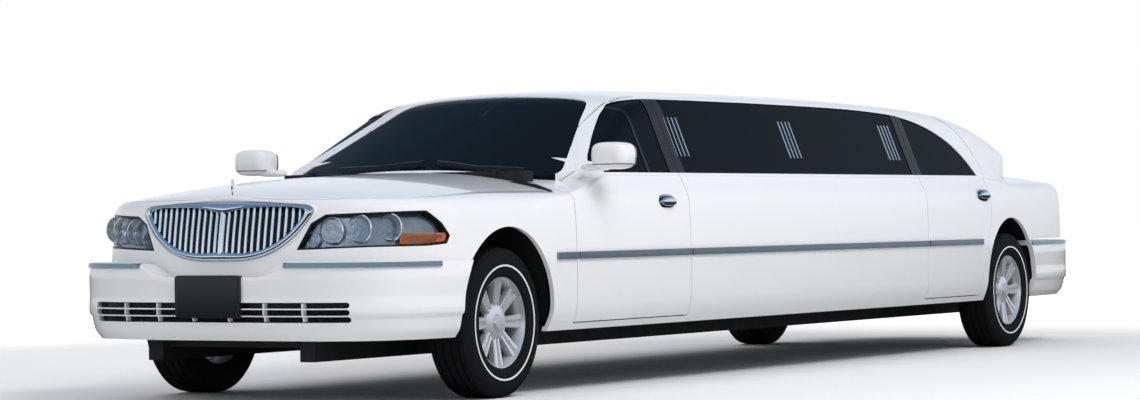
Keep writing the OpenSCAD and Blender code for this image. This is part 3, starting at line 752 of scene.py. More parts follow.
cabin_paint = carve(cabin_shell, ("cut", windows()))
frames = {}
for side, s in (("left", 0), ("right", 1)):
    for end, outline in (("front", front_frame), ("rear", rear_frame)):
        frames[end, side] = carve(cabin_paint, ("keep", [side_bars(outline, 0.0, 0.63)[s]]),
                                  name=f"{end}_frame_{side}", finish=paint)
pillars = carve(cabin_paint, ("cut", side_bars(front_frame, SHUT, 0.62) + side_bars(rear_frame, SHUT, 0.62)
                              + [box(-6, SPLIT_R, -2, 2, 0, 2), roof_bar(0.0006)]), name="pillars",
                              finish=paint)
rear_pillars = carve(cabin_paint, ("cut", side_bars(rear_frame, SHUT, 0.62) + [box(SPLIT_R, 6, -2, 2, 0, 2),
        roof_bar(0.0006)]), name="rear_pillars", finish=paint)
roof = carve(cabin_paint, ("keep", [roof_bar()]), name="roof_panel", finish=paint)

fitted(rounded(fender), "body", "white_paint", "front_fenders")
fitted(rounded(hood), "hood", "white_paint", "hood")
fitted(rounded(lid), "trunk_lid", "white_paint", "trunk_lid")
fitted(rounded(roof), "body", "white_paint", "roof")
fitted(rounded(joined([side_skin, pillars], "side_panel_skins")), "body", "white_paint", "side_panels")
fitted(rounded(joined([quarter, rear_pillars], "quarter_panels")), "body", "white_paint", "rear_quarters")
for (end, side), skin in doors.items():
    whole = joined([skin, frames[end, side]], f"{end}_door_panel_{side}")
    fitted(rounded(whole), f"{end}_door_{side}", "white_paint", f"{end}_door_{side}")

# ---- Glass ----
# Deeply tinted panes set just behind the skin, with black bands over the pillars between them.
outer_glass, inner_glass = cabin_form(0.006, "outer_glass"), cabin_form(0.012, "inner_glass")
pane_shell = carve(outer_glass, ("cut", [inner_glass, box(-5, 5, -0.85, 0.85, 0.9, 1.0)]))
outer_band = cabin_form(0.002, "outer_band")
band_shell = carve(outer_band, ("cut", [inner_glass, box(-5, 5, -0.85, 0.85, 0.9, 1.0)]))
screen = carve(pane_shell, ("keep", [prism(full(screen_zone), "z", 1.0, 1.6)]), name="windscreen_pane",
               finish=glass)
fitted(rounded(screen), "body", "tinted_glass", "windscreen")
back_light = carve(pane_shell, ("keep", [prism(full(rear_zone), "z", 1.0, 1.6)]), name="rear_window_pane",
                   finish=glass)
fitted(rounded(back_light), "body", "tinted_glass", "rear_window")
PILLAR_F, PILLAR_R = FRONT - 1.746, REAR + 1.3285


def band(x0, x1, y0, y1, body, name):
    piece = carve(band_shell, ("keep", [prism(daylight, "y", y0, y1)]),
                  ("keep", [box(x0, x1, -2, 2, 1.0, 1.6)]), name=name, finish=black_trim)
    fitted(rounded(piece), body, "cabin_plastic")


for side, (y0, y1) in (("left", (0.3, 1.3)), ("right", (-1.3, -0.3))):
    for end, x0, x1, body in (("front_door", PILLAR_F, FRONT, f"front_door_{side}"),
                              ("side", PILLAR_R, PILLAR_F, "body"),
                              ("rear_door", REAR + 0.2, PILLAR_R, f"rear_door_{side}")):
        pane = carve(pane_shell, ("keep", [prism(daylight, "y", y0, y1)]),
                     ("keep", [box(x0 + 0.0015, x1 - 0.0015, -2, 2, 1.0, 1.6)]),
                     name=f"{end}_pane_{side}", finish=glass)
        nodes = (f"{end}_glass_{side}",) if end != "side" else (("side_windows",) if side == "left" else ())
        fitted(rounded(pane), body, "tinted_glass", *nodes)
    band(PILLAR_F + 0.002, PILLAR_F + 0.085, y0, y1, f"front_door_{side}", f"front_pillar_band_{side}")
    band(PILLAR_F - 0.075, PILLAR_F - 0.002, y0, y1, "body", f"middle_pillar_band_{side}")
    band(PILLAR_R + 0.002, PILLAR_R + 0.06, y0, y1, "body", f"stretch_pillar_band_{side}")
    band(PILLAR_R - 0.07, PILLAR_R - 0.002, y0, y1, f"rear_door_{side}", f"rear_pillar_band_{side}")
    band(FRONT - 1.45, FRONT - 1.425, y0, y1, f"front_door_{side}", f"front_divider_{side}")


# ---- Bumpers, mouldings and number plate ----
# Moulded covers in body colour, standing proud of the panels above. Chrome strips, tinted dark as a painted
# reflection, lie round them and along the car's sides, and the blank plate sits over the middle of three rows
# of air slots.
bumper_plan = [(FRONT + x, y) for x, y in ((1.064, 0), (1.062, 0.2), (1.050, 0.40), (1.024, 0.56),
                                           (0.975, 0.695), (0.90, 0.80), (0.79, 0.875),
                                           (0.65, 0.925), (0.48, 0.950), (0.26, 0.964), (-0.3, 0.968),
                                           (-0.9, SIDE), (-2.2, SIDE))] + \
              [(REAR + x, y) for x, y in ((2.6, SIDE), (1.2, SIDE), (0.6, 0.968), (0.1, 0.958),
                                          (-0.45, 0.945), (-0.85, 0.92), (-1.08, 0.87),
                                          (-1.23, 0.78), (-1.32, 0.62), (-1.366, 0.40), (-1.385, 0.18),
                                          (-1.390, 0))]
skirt = profile([(0.2, 0.10), (SILL, 0.060), (0.335, 0.030), (0.395, 0.013), (0.404, 0.011), (0.412, 0.001),
                 (0.50, 0.0), (0.60, 0.0), (0.642, 0.005), (0.80, 0.02), (1.2, 0.05)])


def bumper_top(x, y):
    """Level, but lower under the grille."""
    return 0.652 - 0.066 * (1 - step(np.abs(y), 0.25, 0.42)) * step(x, FRONT + 0.5, FRONT + 0.8)


def bumper_form(t, name):
    return swept_form(name, bumper_plan, t, lambda z, lean: skirt(z), bumper_top, lambda x: 0.014)


bumper_skin = bumper_form(0.0, "outer_bumper")
bumper_core = bumper_form(0.03, "inner_bumper")
bumper_edge = bumper_form(-0.009, "outer_strip")
open_floor = box(REAR - 1.10, FRONT + 0.74, -0.80, 0.80, 0.1, 0.36)
bumper_shell = carve(bumper_skin, ("cut", [bumper_core, open_floor]))
SLOT_ROWS = (0.394, 0.426, 0.458)
SLOT_W, SLOT_H, SLOT_STEP = 1.40, 0.026, 0.196


def pill(y, z, w, h, x0, x1):
    """A flat bar with round ends, lying along x."""
    r = h / 2
    turn = [math.pi / 2 + math.pi * i / 8 for i in range(9)]
    left_end = [(y - w / 2 + r + r * math.cos(a), z + r * math.sin(a)) for a in turn]
    return prism(left_end + [(2 * y - b, 2 * z - c) for b, c in left_end], "x", x0, x1)


slots = [pill(0, z, SLOT_W, SLOT_H, FRONT + 0.80, FRONT + 1.2) for z in SLOT_ROWS]
posts = [box(FRONT + 0.80, FRONT + 1.2, k * SLOT_STEP - 0.0028, k * SLOT_STEP + 0.0028, 0.385, 0.468)
         for k in (-2.5, -1.5, -0.5, 0.5, 1.5, 2.5)]
posts = carve(bumper_skin, ("cut", [bumper_core]), ("keep", [joined(posts)]))
front_cover = carve(bumper_shell, ("cut", [box(-6, FRONT + 0.27, -2, 2, 0, 1)] + wheel_cuts()
                                   + [joined(slots)]), name="front_bumper_cover", finish=paint)
posts.data.materials.clear()
posts.data.materials.append(paint.material)
front_cover = joined([front_cover, posts], "front_bumper_cover")
fitted(rounded(front_cover), "body", "white_paint", "front_bumper")
rear_cover = carve(bumper_shell, ("cut", [box(REAR - 0.30, 6, -2, 2, 0, 1)] + wheel_cuts()),
                   name="rear_bumper_cover", finish=paint)
fitted(rounded(rear_cover), "body", "white_paint", "rear_bumper")
backing = carve(bumper_core, ("keep", [box(FRONT + 0.80, FRONT + 1.2, -0.72, 0.72, 0.365, 0.49)]),
                name="slot_backing", finish=black_trim)
fitted(rounded(backing), "body", "plate_black")

chrome = Finish("chrome", (0.78, 0.82, 0.86), Metallic=1.0, Roughness=0.08)
chrome.set("Roughness", chrome.spread(chrome.noise(40.0), 0.05, 0.13))
# The strips' chrome has a dark blue-grey base colour: a painted reflection of a dark horizon, not the
# plating's own colour.
strip_painted_reflection_chrome = Finish("moulding_painted_reflection_chrome", (0.20, 0.27, 0.32), Metallic=1.0, Roughness=0.10)
strip_painted_reflection_chrome.set("Roughness", strip_painted_reflection_chrome.spread(strip_painted_reflection_chrome.noise(6.0), 0.08, 0.14))
side_edge = swept_form("outer_side", body_plan, -0.010, lambda z, lean: waist(z), deck, shoulder_radius)
strip_z = (0.637, 0.671)


def strip(form, inner, x0, x1, y0, y1, z0, z1, body, name):
    piece = carve(form, ("cut", [inner]), ("keep", [box(x0, x1, y0, y1, z0, z1)]), name=name,
                  finish=strip_painted_reflection_chrome)
    fitted(rounded(piece), body, "chrome")


for side, y0, y1 in (("left", 0.5, 1.3), ("right", -1.3, -0.5)):
    for name, x0, x1, body in (("fender_strip", FRONT - 0.584, FRONT - 0.399, "body"),
                               ("front_door_strip", FRONT - 1.741, FRONT - 0.600, f"front_door_{side}"),
                               ("side_strip", REAR + 1.331, FRONT - 1.750, "body"),
                               ("rear_door_strip", REAR + 0.505, REAR + 1.316, f"rear_door_{side}")):
        strip(side_edge, lower_skin, x0, x1, y0, y1, *strip_z, body, f"{name}_{side}")
for name, x0, x1, y0, y1 in (("front_bumper_strip_left", FRONT + 0.58, FRONT + 1.2, 0.40, 1.2),
                             ("front_bumper_strip_right", FRONT + 0.58, FRONT + 1.2, -1.2, -0.40),
                             ("rear_bumper_strip", REAR - 1.6, REAR - 0.32, -1.2, 1.2)):
    strip(bumper_edge, bumper_skin, x0, x1, y0, y1, 0.626, 0.649, "body", name)


def softened(obj, width, segments=3):
    mod = obj.modifiers.new("edges", "BEVEL")
    mod.width, mod.segments, mod.limit_method, mod.angle_limit = width, segments, "ANGLE", math.radians(30)
    mesh = bpy.data.meshes.new_from_object(obj.evaluated_get(bpy.context.evaluated_depsgraph_get()))
    obj.modifiers.clear()
    obj.data = mesh
    return rounded(obj)


def rounded_plate(y, z, w, h, r):
    points = []
    for cy, cz, a0 in ((y + w / 2 - r, z + h / 2 - r, 0), (y - w / 2 + r, z + h / 2 - r, 90),
                       (y - w / 2 + r, z - h / 2 + r, 180), (y + w / 2 - r, z - h / 2 + r, 270)):
        turn = [math.radians(a0 + 15 * k) for k in range(7)]
        points += [(cy + r * math.cos(a), cz + r * math.sin(a)) for a in turn]
    return points


plate_black = Finish("plate_black", (0.010, 0.010, 0.011), Roughness=0.35)
plate_black.bump(plate_black.noise(250.0), 0.15, 0.0005)
low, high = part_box("number_plate")
outline = rounded_plate(0, (low[2] + high[2]) / 2, high[1] - low[1], high[2] - low[2], 0.018)
blank = prism(outline, "x", FRONT + 1.045, high[0])
blank.name = "blank_plate"
blank.data.materials.append(plate_black.material)
softened(blank, 0.004)
fitted(blank, "body", "plate_black", "number_plate")

# ---- Grille ----
# A chrome-plated frame with upright blades in front of a black baffle, one wider plain blade in the
# middle, and a lip in body colour under it. The frame and blades follow the nose's surface.
tree = BVHTree.FromObject(lower_skin, bpy.context.evaluated_depsgraph_get())


def nose_at(y, z):
    """Where the nose's surface lies ahead of the point (y, z)."""
    hit = tree.ray_cast(Vector((FRONT + 2, y, z)), Vector((-1, 0, 0)))[0]
    return hit.x if hit is not None else FRONT + 0.9


def ring(outline, section, name, finish):
    """A bar bent round an outline on the nose, with a section of (inward, ahead) points."""
    centre = np.array([0.0, 0.835])
    p = np.array(outline)
    way = centre - p
    way[:, 0] *= 0.86
    way /= np.linalg.norm(way, axis=1)[:, None]
    n, m = len(p), len(section)
    wide = 1 + 0.45 * step(p[:, 1], 0.885, 0.905)
    verts = [(nose_at(*(p[i] + way[i] * max(w * wide[i], 0))) + h, *(p[i] + way[i] * w * wide[i]))
             for i in range(n) for w, h in section]
    return rounded(mesh_object(name, verts, tube_faces(n, m, True), finish), 50)


loop = smooth_path(grille_front, 70)
loop = np.vstack([loop, loop[-2:0:-1] * [-1, 1]])
surround = ring(loop, [(-0.001, -0.03), (-0.001, 0.004), (0.003, 0.011), (0.010, 0.016), (0.022, 0.017),
                       (0.032, 0.012), (0.038, 0.002), (0.039, -0.03)], "grille_frame", chrome)
fitted(surround, "body", "chrome", "grille")
lip = ring(loop, [(-0.020, -0.03), (-0.020, -0.002), (-0.015, 0.004), (-0.008, 0.005), (-0.003, 0.0),
                  (-0.003, -0.03)], "grille_lip", paint)
fitted(lip, "body", "white_paint")
GRILLE_WIDEST = 0.888      # height at which the loop turns from its lower to its upper edge
upper_edge = np.array(sorted([tuple(v) for v in loop if v[1] > GRILLE_WIDEST and abs(v[0]) < 0.455]))
lower_edge = np.array(sorted([tuple(v) for v in loop if v[1] <= GRILLE_WIDEST and abs(v[0]) < 0.462]))


def blade(y, w, proud, finish):
    """An upright bar with a rounded front that follows the nose from the frame's foot to its top."""
    foot, top = (np.interp(y, e[:, 0], e[:, 1]) for e in (lower_edge, upper_edge))
    z = np.linspace(foot + 0.015, top - 0.015, 18)
    verts, m = [], 7
    for k in z:
        x = nose_at(y, k)
        for a in np.linspace(-1, 1, m - 2):
            verts.append((x - 0.006 + proud * math.sqrt(max(1 - a * a, 0)), y + a * w / 2, k))
        verts += [(x - 0.045, y + w * 0.3, k), (x - 0.045, y - w * 0.3, k)]
    return mesh_object("blade", verts, tube_faces(len(z), m), finish)


bars = [blade(k * 0.0335, 0.014, 0.014, chrome) for k in range(-12, 13) if k]
bars = joined(bars + [blade(0, 0.030, 0.020, chrome)], "grille_blades")
fitted(rounded(bars, 60), "body", "chrome")
baffle = carve(lower_core, ("keep", [yz([tuple(v) for v in loop])]),
               ("keep", [box(FRONT + 0.70, FRONT + 1.2, -1, 1, 0.6, 1.0)]), name="grille_baffle",
               finish=black_trim)
fitted(rounded(baffle), "body", "plate_black")

# ---- Headlamps ----
# Clear polycarbonate covers over silvered bowls, four round reflectors on each side (three large and one
# small, next to the grille), and an amber side reflector at the outer end.
clear = Finish("lamp_cover", (0.9, 0.93, 0.95), Roughness=0.03, Transmission_Weight=1.0, IOR=1.1,
               Specular_IOR_Level=0.4)
clear.bump(clear.noise(90.0), 0.03, 0.0005)
silver = Finish("reflector", (0.80, 0.84, 0.88), Metallic=0.55, Roughness=0.15)
silver.bump(silver.node("ShaderNodeTexVoronoi", Vector=silver.place(), Scale=60.0), 0.5, 0.004)
bowl_dark = Finish("lamp_bowl", (0.34, 0.38, 0.42), Metallic=0.6, Roughness=0.22)
bowl_dark.bump(bowl_dark.noise(40.0, 1.0), 0.5, 0.004)
amber = Finish("amber", (0.90, 0.20, 0.015), Roughness=0.2, Coat_Weight=0.6)
amber.bump(amber.noise(220.0, 1.0), 0.3, 0.001)
lamp_cover_out, lamp_cover_in = lower_form(0.002, "outer_lamp"), lower_form(0.007, "inner_lamp")
bowl_out, bowl_in = lower_form(0.040, "outer_bowl"), lower_form(0.046, "inner_bowl")
edge = np.array(smooth_path(body_plan, 600))


def nose_x(y):
    ahead = edge[edge[:, 0] > FRONT]
    return float(np.interp(y, ahead[:, 1], ahead[:, 0]))


def dome(y, z, r, side, depth):
    """A round dished reflector that faces forward and a little outward."""
    n, m = 28, 8
    x = nose_x(y) - 0.030
    verts, faces = [], []
    for j in range(m + 1):
        a = math.pi / 2 * j / m
        for i in range(n):
            b = 2 * math.pi * i / n
            verts.append((x - depth * math.cos(a), side * (y + r * math.sin(a) * math.cos(b)), z
                          + r * math.sin(a) * math.sin(b)))
    for j in range(m):
        faces += [(j * n + i, j * n + (i + 1) % n, (j + 1) * n + (i + 1) % n, (j + 1) * n + i)
                  for i in range(n)]
    rim = len(verts)
    for i in range(n):
        b = 2 * math.pi * i / n
        verts.append((x - 0.004, side * (y + r * 1.1 * math.cos(b)), z + r * 1.1 * math.sin(b)))
    faces += [(m * n + i, m * n + (i + 1) % n, rim + (i + 1) % n, rim + i) for i in range(n)]
    return mesh_object("dome", verts, faces, silver)


for side, s in (("left", 1), ("right", -1)):
    cover = carve(lamp_cover_out, ("keep", lamp_zone(-0.001, (s,))), ("cut", [lamp_cover_in]),
                  name=f"lamp_cover_{side}", finish=clear)
    fitted(rounded(cover), "body", "lamp_clear", *(("headlamps",) if side == "left" else ()))
    bowl = carve(bowl_out, ("keep", lamp_zone(-0.001, (s,))), ("cut", [bowl_in]), name=f"lamp_bowl_{side}",
                 finish=bowl_dark)
    rim_ring = carve(lower_skin, ("keep", lamp_zone(0.001, (s,))),
                     ("cut", lamp_zone(-0.006, (s,)) + [bowl_out]), name=f"lamp_rim_{side}",
                     finish=black_trim)
    fitted(rounded(rim_ring), "body", "plate_black")
    domes = [dome(y, z, r, s, 0.05) for y, z, r in ((0.54, 0.790, 0.058), (0.655, 0.797, 0.060),
                                                    (0.765, 0.802, 0.058), (0.455, 0.748, 0.034))]
    bowl = joined([bowl] + domes, f"lamp_bowl_{side}")
    fitted(rounded(bowl), "body", "lamp_clear")
    y0, y1 = (0.80, 1.3) if s > 0 else (-1.3, -0.80)
    reflector = carve(lamp_cover_in, ("keep", lamp_zone(-0.010, (s,))),
                      ("keep", [box(FRONT + 0.3, FRONT + 0.715, y0, y1, 0.70, 0.775)]), ("cut", [bowl_in]),
                      name=f"amber_reflector_{side}", finish=amber)
    fitted(rounded(reflector), "body", "lamp_clear")

# ---- Tail lamps ----
# Red moulded lenses let into the rear corners.
red = Finish("tail_lens", (0.42, 0.012, 0.012), Roughness=0.12, Coat_Weight=0.8)
red.bump(red.noise(160.0, 1.0), 0.25, 0.001)
for side, s in (("left", 0), ("right", 1)):
    lens = carve(lamp_cover_out, ("keep", [side_bars(tail_zone_side, -0.001, 0.722)[s]]), ("cut", [bowl_out]),
                 name=f"tail_lens_{side}", finish=red)
    fitted(rounded(lens), "body", "lamp_red", *(("tail_lamps",) if s == 0 else ()))

# ---- Wheels and tyres ----
# Cast alloy wheels with eight broad spokes, each a pair of ribs with a groove between them, and a
# plain hub cap. The rubber tyres have four grooves round the tread and a thin white line on the side.
rubber = Finish("tyre_rubber", (0.008, 0.008, 0.009), Roughness=0.7, Specular_IOR_Level=0.15)
rubber.set("Roughness", rubber.spread(rubber.noise(60.0), 0.6, 0.85))
rubber.bump(rubber.noise(350.0), 0.25, 0.0006)
white_line = Finish("whitewall", (0.78, 0.77, 0.74), Roughness=0.6)
white_line.bump(white_line.noise(300.0), 0.2, 0.0005)
alloy = Finish("wheel_alloy", (0.72, 0.73, 0.75), Metallic=0.6, Roughness=0.28, Coat_Weight=0.4)
alloy.set("Roughness", alloy.spread(alloy.noise(8.0), 0.24, 0.32))
iron = Finish("brake_iron", (0.10, 0.10, 0.105), Metallic=0.6, Roughness=0.55)
iron.bump(iron.noise(140.0), 0.2, 0.001)


def turned(points, finish, count=96):
    """A ring or disc turned round the wheel's own axis from (radius, outward) points."""
    n, m = count, len(points)
    verts = [(r * math.cos(2 * math.pi * i / n), y, r * math.sin(2 * math.pi * i / n)) for i in range(n)
             for r, y in points]
    obj = mesh_object("turned", verts, tube_faces(n, m, True), finish)
    bm = bmesh.new()
    bm.from_mesh(obj.data)
    bmesh.ops.remove_doubles(bm, verts=bm.verts, dist=1e-6)
    bmesh.ops.recalc_face_normals(bm, faces=bm.faces)
    bm.to_mesh(obj.data)
    bm.free()
    return obj


def tread(groove_at=(-0.062, -0.022, 0.022, 0.062), half=0.0035, depth=0.008, r=0.351):
    points = [(0.3475, -0.088)]
    for y in groove_at:
        points += [(r, y - half - 0.001), (r - depth, y - half), (r - depth, y + half), (r, y + half + 0.001)]
    return points + [(0.3475, 0.088)]


tyre_section = [(0.214, -0.098), (0.222, -0.106), (0.245, -0.1105), (0.280, -0.1125), (0.315, -0.108),
                (0.338, -0.098)] + tread() + \
               [(0.338, 0.098), (0.315, 0.108), (0.280, 0.1125), (0.245, 0.1105), (0.222, 0.106),
                (0.214, 0.098), (0.205, 0.085), (0.205, -0.085)]
line_section = [(0.262, 0.1115), (0.262, 0.1135), (0.270, 0.1140), (0.270, 0.1115)]
rim_section = [(0.196, 0.070), (0.203, 0.086), (0.209, 0.0945), (0.2165, 0.0955), (0.2185, 0.092),
               (0.2165, 0.084), (0.209, 0.078), (0.203, 0.0), (0.209, -0.078),
               (0.2185, -0.092), (0.2165, -0.0955), (0.209, -0.093), (0.200, -0.08), (0.193, -0.01),
               (0.190, 0.045)]
hub_section = [(0.0, 0.059), (0.041, 0.059), (0.041, 0.030), (0.085, 0.030), (0.092, 0.050), (0.086, 0.062),
               (0.066, 0.069), (0.040, 0.071), (0.036, 0.078), (0.030, 0.0825), (0.0, 0.0835)]
disc_section = [(0.060, -0.019), (0.158, -0.019), (0.158, -0.003), (0.060, -0.003)]


def spoke(angle):
    verts, stations = [], ((0.060, 0.044, 0.060), (0.080, 0.048, 0.066), (0.115, 0.053, 0.070),
                           (0.155, 0.059, 0.075), (0.185, 0.065, 0.079), (0.206, 0.072, 0.082))
    for r, w, top in stations:
        h = w / 2
        for a, y in ((-h, top - 0.034), (-h, top - 0.006), (-h + 0.004, top), (-h * 0.36, top),
                     (-h * 0.22, top - 0.012), (h * 0.22, top - 0.012), (h * 0.36, top),
                     (h - 0.004, top), (h, top - 0.006), (h, top - 0.034)):
            verts.append((r * math.cos(angle) - a * math.sin(angle), y, r * math.sin(angle)
                          + a * math.cos(angle)))
    return mesh_object("spoke", verts, tube_faces(len(stations), 10), alloy)


for end, x, mid_y in (("front", FRONT, 0.805), ("rear", REAR, 0.820)):
    for side, s in (("left", 1), ("right", -1)):
        turn = Matrix.Translation((x, s * mid_y, AXLE_Z)) @ Matrix.Rotation(0 if s > 0 else math.pi, 4, "Z")
        tyre = joined([turned(tyre_section, rubber, 120), turned(line_section, white_line)],
                      f"tyre_{end}_{side}_rubber")
        tyre.data.transform(turn)
        fitted(rounded(tyre, 30), f"wheel_{end}_{side}", "tyre_rubber", f"tyre_{end}_{side}")
        rim = joined([turned(rim_section, alloy), turned(hub_section, alloy, 48), turned(disc_section, iron,
                64)] +
                     [spoke(math.pi * k / 4) for k in range(8)], f"alloy_{end}_{side}")
        rim.data.transform(turn)
        fitted(rounded(rim, 32), f"wheel_{end}_{side}", "wheel_alloy", f"wheel_{end}_{side}")

# ---- Mirrors, handles, glass strips and hood ornament ----
# Painted mirror housings on short arms with a dark parting line, plated door handles over dark
# recesses, groups of four thin plated strips on the side glass, and a plain upright on the hood.
mirror_glass = Finish("mirror_glass", (0.35, 0.38, 0.42), Metallic=0.9, Roughness=0.05)
mirror_glass.set("Roughness", mirror_glass.spread(mirror_glass.noise(5.0), 0.03, 0.07))


def pebble(name, low, high, power, finish, n=40, m=20):
    """A closed form between a box and an ellipsoid; a lower power is squarer."""
    mid, half = (np.array(low) + np.array(high)) / 2, (np.array(high) - np.array(low)) / 2

    def curve(c):
        return math.copysign(abs(c) ** power, c)

    verts = []
    for j in range(1, m):
        b = -math.pi / 2 + math.pi * j / m
        for i in range(n):
            a = 2 * math.pi * i / n
            verts.append(mid + half * (curve(math.cos(b)) * curve(math.cos(a)),
                                       curve(math.cos(b)) * curve(math.sin(a)), curve(math.sin(b))))
    verts += [mid - half * (0, 0, 1), mid + half * (0, 0, 1)]
    faces = [(j * n + i, j * n + (i + 1) % n, (j + 1) * n + (i + 1) % n, (j + 1) * n + i)
             for j in range(m - 2) for i in range(n)]
    faces += [((i + 1) % n, i, (m - 1) * n) for i in range(n)] + [((m - 2) * n + i, (m - 2) * n + (i + 1) % n,
            (m - 1) * n + 1) for i in range(n)]
    return mesh_object(name, verts, faces, finish)


def span(s, x0, x1, y0, y1, z0, z1):
    """Low and high corners on the car's left (s = 1) or mirrored to its right."""
    return (x0, min(s * y0, s * y1), z0), (x1, max(s * y0, s * y1), z1)


for side, s in (("left", 1), ("right", -1)):
    door = f"front_door_{side}"
    shell = pebble("housing", *span(s, FRONT - 0.895, FRONT - 0.722, 0.955, 1.149, 1.066, 1.198), 0.55, paint)
    seam = pebble("outer_seam", *span(s, FRONT - 0.894, FRONT - 0.7215, 0.9545, 1.1495, 1.0655, 1.1985), 0.55,
                  black_trim)
    seam = carve(seam, ("keep", [box(-9, 9, -2, 2, 1.088, 1.092)]), name="seam")
    arm = pebble("arm", *span(s, FRONT - 0.865, FRONT - 0.765, 0.880, 1.02, 1.060, 1.094), 0.6, paint)
    pane = pebble("pane", *span(s, FRONT - 0.898, FRONT - 0.880, 0.972, 1.134, 1.082, 1.182), 0.4,
                  mirror_glass)
    fitted(rounded(joined([shell, seam, arm, pane], f"mirror_{side}_housing"), 50), door, "white_paint",
           f"mirror_{side}")
    sail = prism([(FRONT - 0.850, 1.052), (FRONT - 0.985, 1.052), (FRONT - 0.985, 1.066),
                  (FRONT - 0.900, 1.130)], "y", *((0.6, 1.0) if s > 0 else (-1.0, -0.6)))
    sail = carve(band_shell, ("keep", [sail]), name=f"mirror_sail_{side}", finish=paint)
    fitted(rounded(sail), door, "white_paint")
    for name, x, z, body in (("front_handle", FRONT - 1.510, 0.906, door), ("rear_handle", FRONT - 5.578,
            0.934, f"rear_door_{side}")):
        y = 0.968 if x > 0 else 0.958
        cup = pebble("cup", *span(s, x - 0.088, x + 0.088, y - 0.02, y + 0.003, z - 0.034, z + 0.034), 0.7,
                     black_trim)
        frame_ring = pebble("plate", *span(s, x - 0.094, x + 0.094, y - 0.02, y + 0.001, z - 0.040, z
                                           + 0.040), 0.8, chrome)
        flap = pebble("flap", *span(s, x - 0.080, x + 0.066, y - 0.012, y + 0.022, z - 0.020, z + 0.026),
                      0.75, chrome)
        knob = pebble("knob", *span(s, x + 0.058, x + 0.078, y - 0.01, y + 0.008, z - 0.010, z + 0.010), 1.0,
                      chrome, 20, 10)
        fitted(rounded(joined([frame_ring, cup, flap, knob], f"{name}_{side}"), 50), body, "chrome")

glass_tree = BVHTree.FromObject(outer_glass, bpy.context.evaluated_depsgraph_get())
for side, s in (("left", 1), ("right", -1)):
    rods = []
    for centre in (FRONT - 1.875, FRONT - 3.192, FRONT - 4.491):
        for k in (-1.5, -0.5, 0.5, 1.5):
            x, verts = centre + k * 0.044, []
            for z in np.linspace(1.142, 1.343, 8):
                hit = glass_tree.ray_cast(Vector((x, s * 2, z)), Vector((0, -s, 0)))[0]
                verts += [(x - 0.006, hit.y - s * 0.004, z), (x - 0.005, hit.y + s * 0.003, z),
                          (x, hit.y + s * 0.005, z), (x + 0.005, hit.y + s * 0.003, z),
                          (x + 0.006, hit.y - s * 0.004, z)]
            rods.append(mesh_object("rod", verts, tube_faces(8, 5), chrome))
    fitted(rounded(joined(rods, f"glass_strips_{side}"), 60), "body", "chrome")

foot = pebble("foot", (FRONT + 0.856, -0.014, 0.938), (FRONT + 0.886, 0.014, 0.952), 0.8, chrome)
stem = pebble("stem", (FRONT + 0.867, -0.0035, 0.945), (FRONT + 0.875, 0.0035, 1.024), 0.6, chrome)
leaf = pebble("leaf", (FRONT + 0.862, -0.0045, 0.972), (FRONT + 0.880, 0.0045, 1.026), 0.7, chrome)
fitted(rounded(joined([foot, stem, leaf], "hood_upright"), 60), "hood", "chrome")

arms = []
for y0, y1 in ((0.10, 0.60), (-0.48, 0.02)):
    blade_path = [(FRONT - 0.690 - 0.035 * abs(t), y0 + (y1 - y0) * (t + 1) / 2) for t in np.linspace(-1, 1,
            9)]
    verts = []
    for x, y in blade_path:
        z = 1.062 + 0.478 * (FRONT - 0.634 - 0.135 * (y / 0.72) ** 2 - x) + 0.012
        verts += [(x - 0.006, y, z - 0.006), (x + 0.006, y, z - 0.009), (x + 0.005, y, z + 0.006),
                  (x - 0.005, y, z + 0.008)]
    arms.append(mesh_object("wiper", verts, tube_faces(9, 4), black_trim))
fitted(rounded(joined(arms, "wipers"), 40), "body", "plate_black")

# ---- Seats ----
# Leather-covered foam: crowned cushions with sewn channels, two seats in front, a bench across the
# rear and a long one down the car's right side.
leather = Finish("seat_leather", (0.035, 0.034, 0.036), Roughness=0.5, Specular_IOR_Level=0.35)
grain = leather.node("ShaderNodeTexVoronoi", Vector=leather.place(), Scale=260.0)
leather.set("Roughness", leather.spread(leather.noise(12.0), 0.42, 0.6))
leather.bump(grain, 0.25, 0.0006)


def cushion(low, high, along, pitch=0.11, front=2):
    """A stuffed block with round corners, its top or front face sewn in channels along one axis."""
    obj = pebble("cushion", low, high, 0.32, leather, 96, 48)
    mid, half = (np.array(low) + np.array(high)) / 2, (np.array(high) - np.array(low)) / 2
    count = max(1, round(2 * half[along] / pitch))
    for v in obj.data.vertices:
        at = (np.array(v.co) - mid) / half
        run = (at[along] * 0.5 + 0.5) * count
        seam = math.exp(-((run - round(run)) * pitch / 0.012) ** 2) if 0 < round(run) < count else 0
        face = max(at[front], 0)
        v.co[front] += (-0.010 * seam + 0.006 * (1 - at[along] ** 2)) * face ** 2 - 0.006 * face
        for axis in range(3):
            if axis != front:
                v.co[axis] -= 0.006 * at[axis] * (1 - at[front] ** 2)
    return obj


def seat(x, y, w, name, headrest=True):
    """Cushion, leaning back and headrest of one seat, inside its CAD solid's room."""
    parts = [cushion((x - 0.500, y - w / 2, 0.30), (x, y + w / 2, 0.560), 1),
             cushion((x - 0.620, y - w / 2 + 0.01, 0.50), (x - 0.485, y + w / 2 - 0.01, 0.97 if headrest
                                                           else 1.10), 1, front=0)]
    if headrest:
        parts.append(cushion((x - 0.610, y - 0.13, 0.975), (x - 0.505, y + 0.13, 1.128), 1, 0.3, front=0))
    return joined(parts, name)


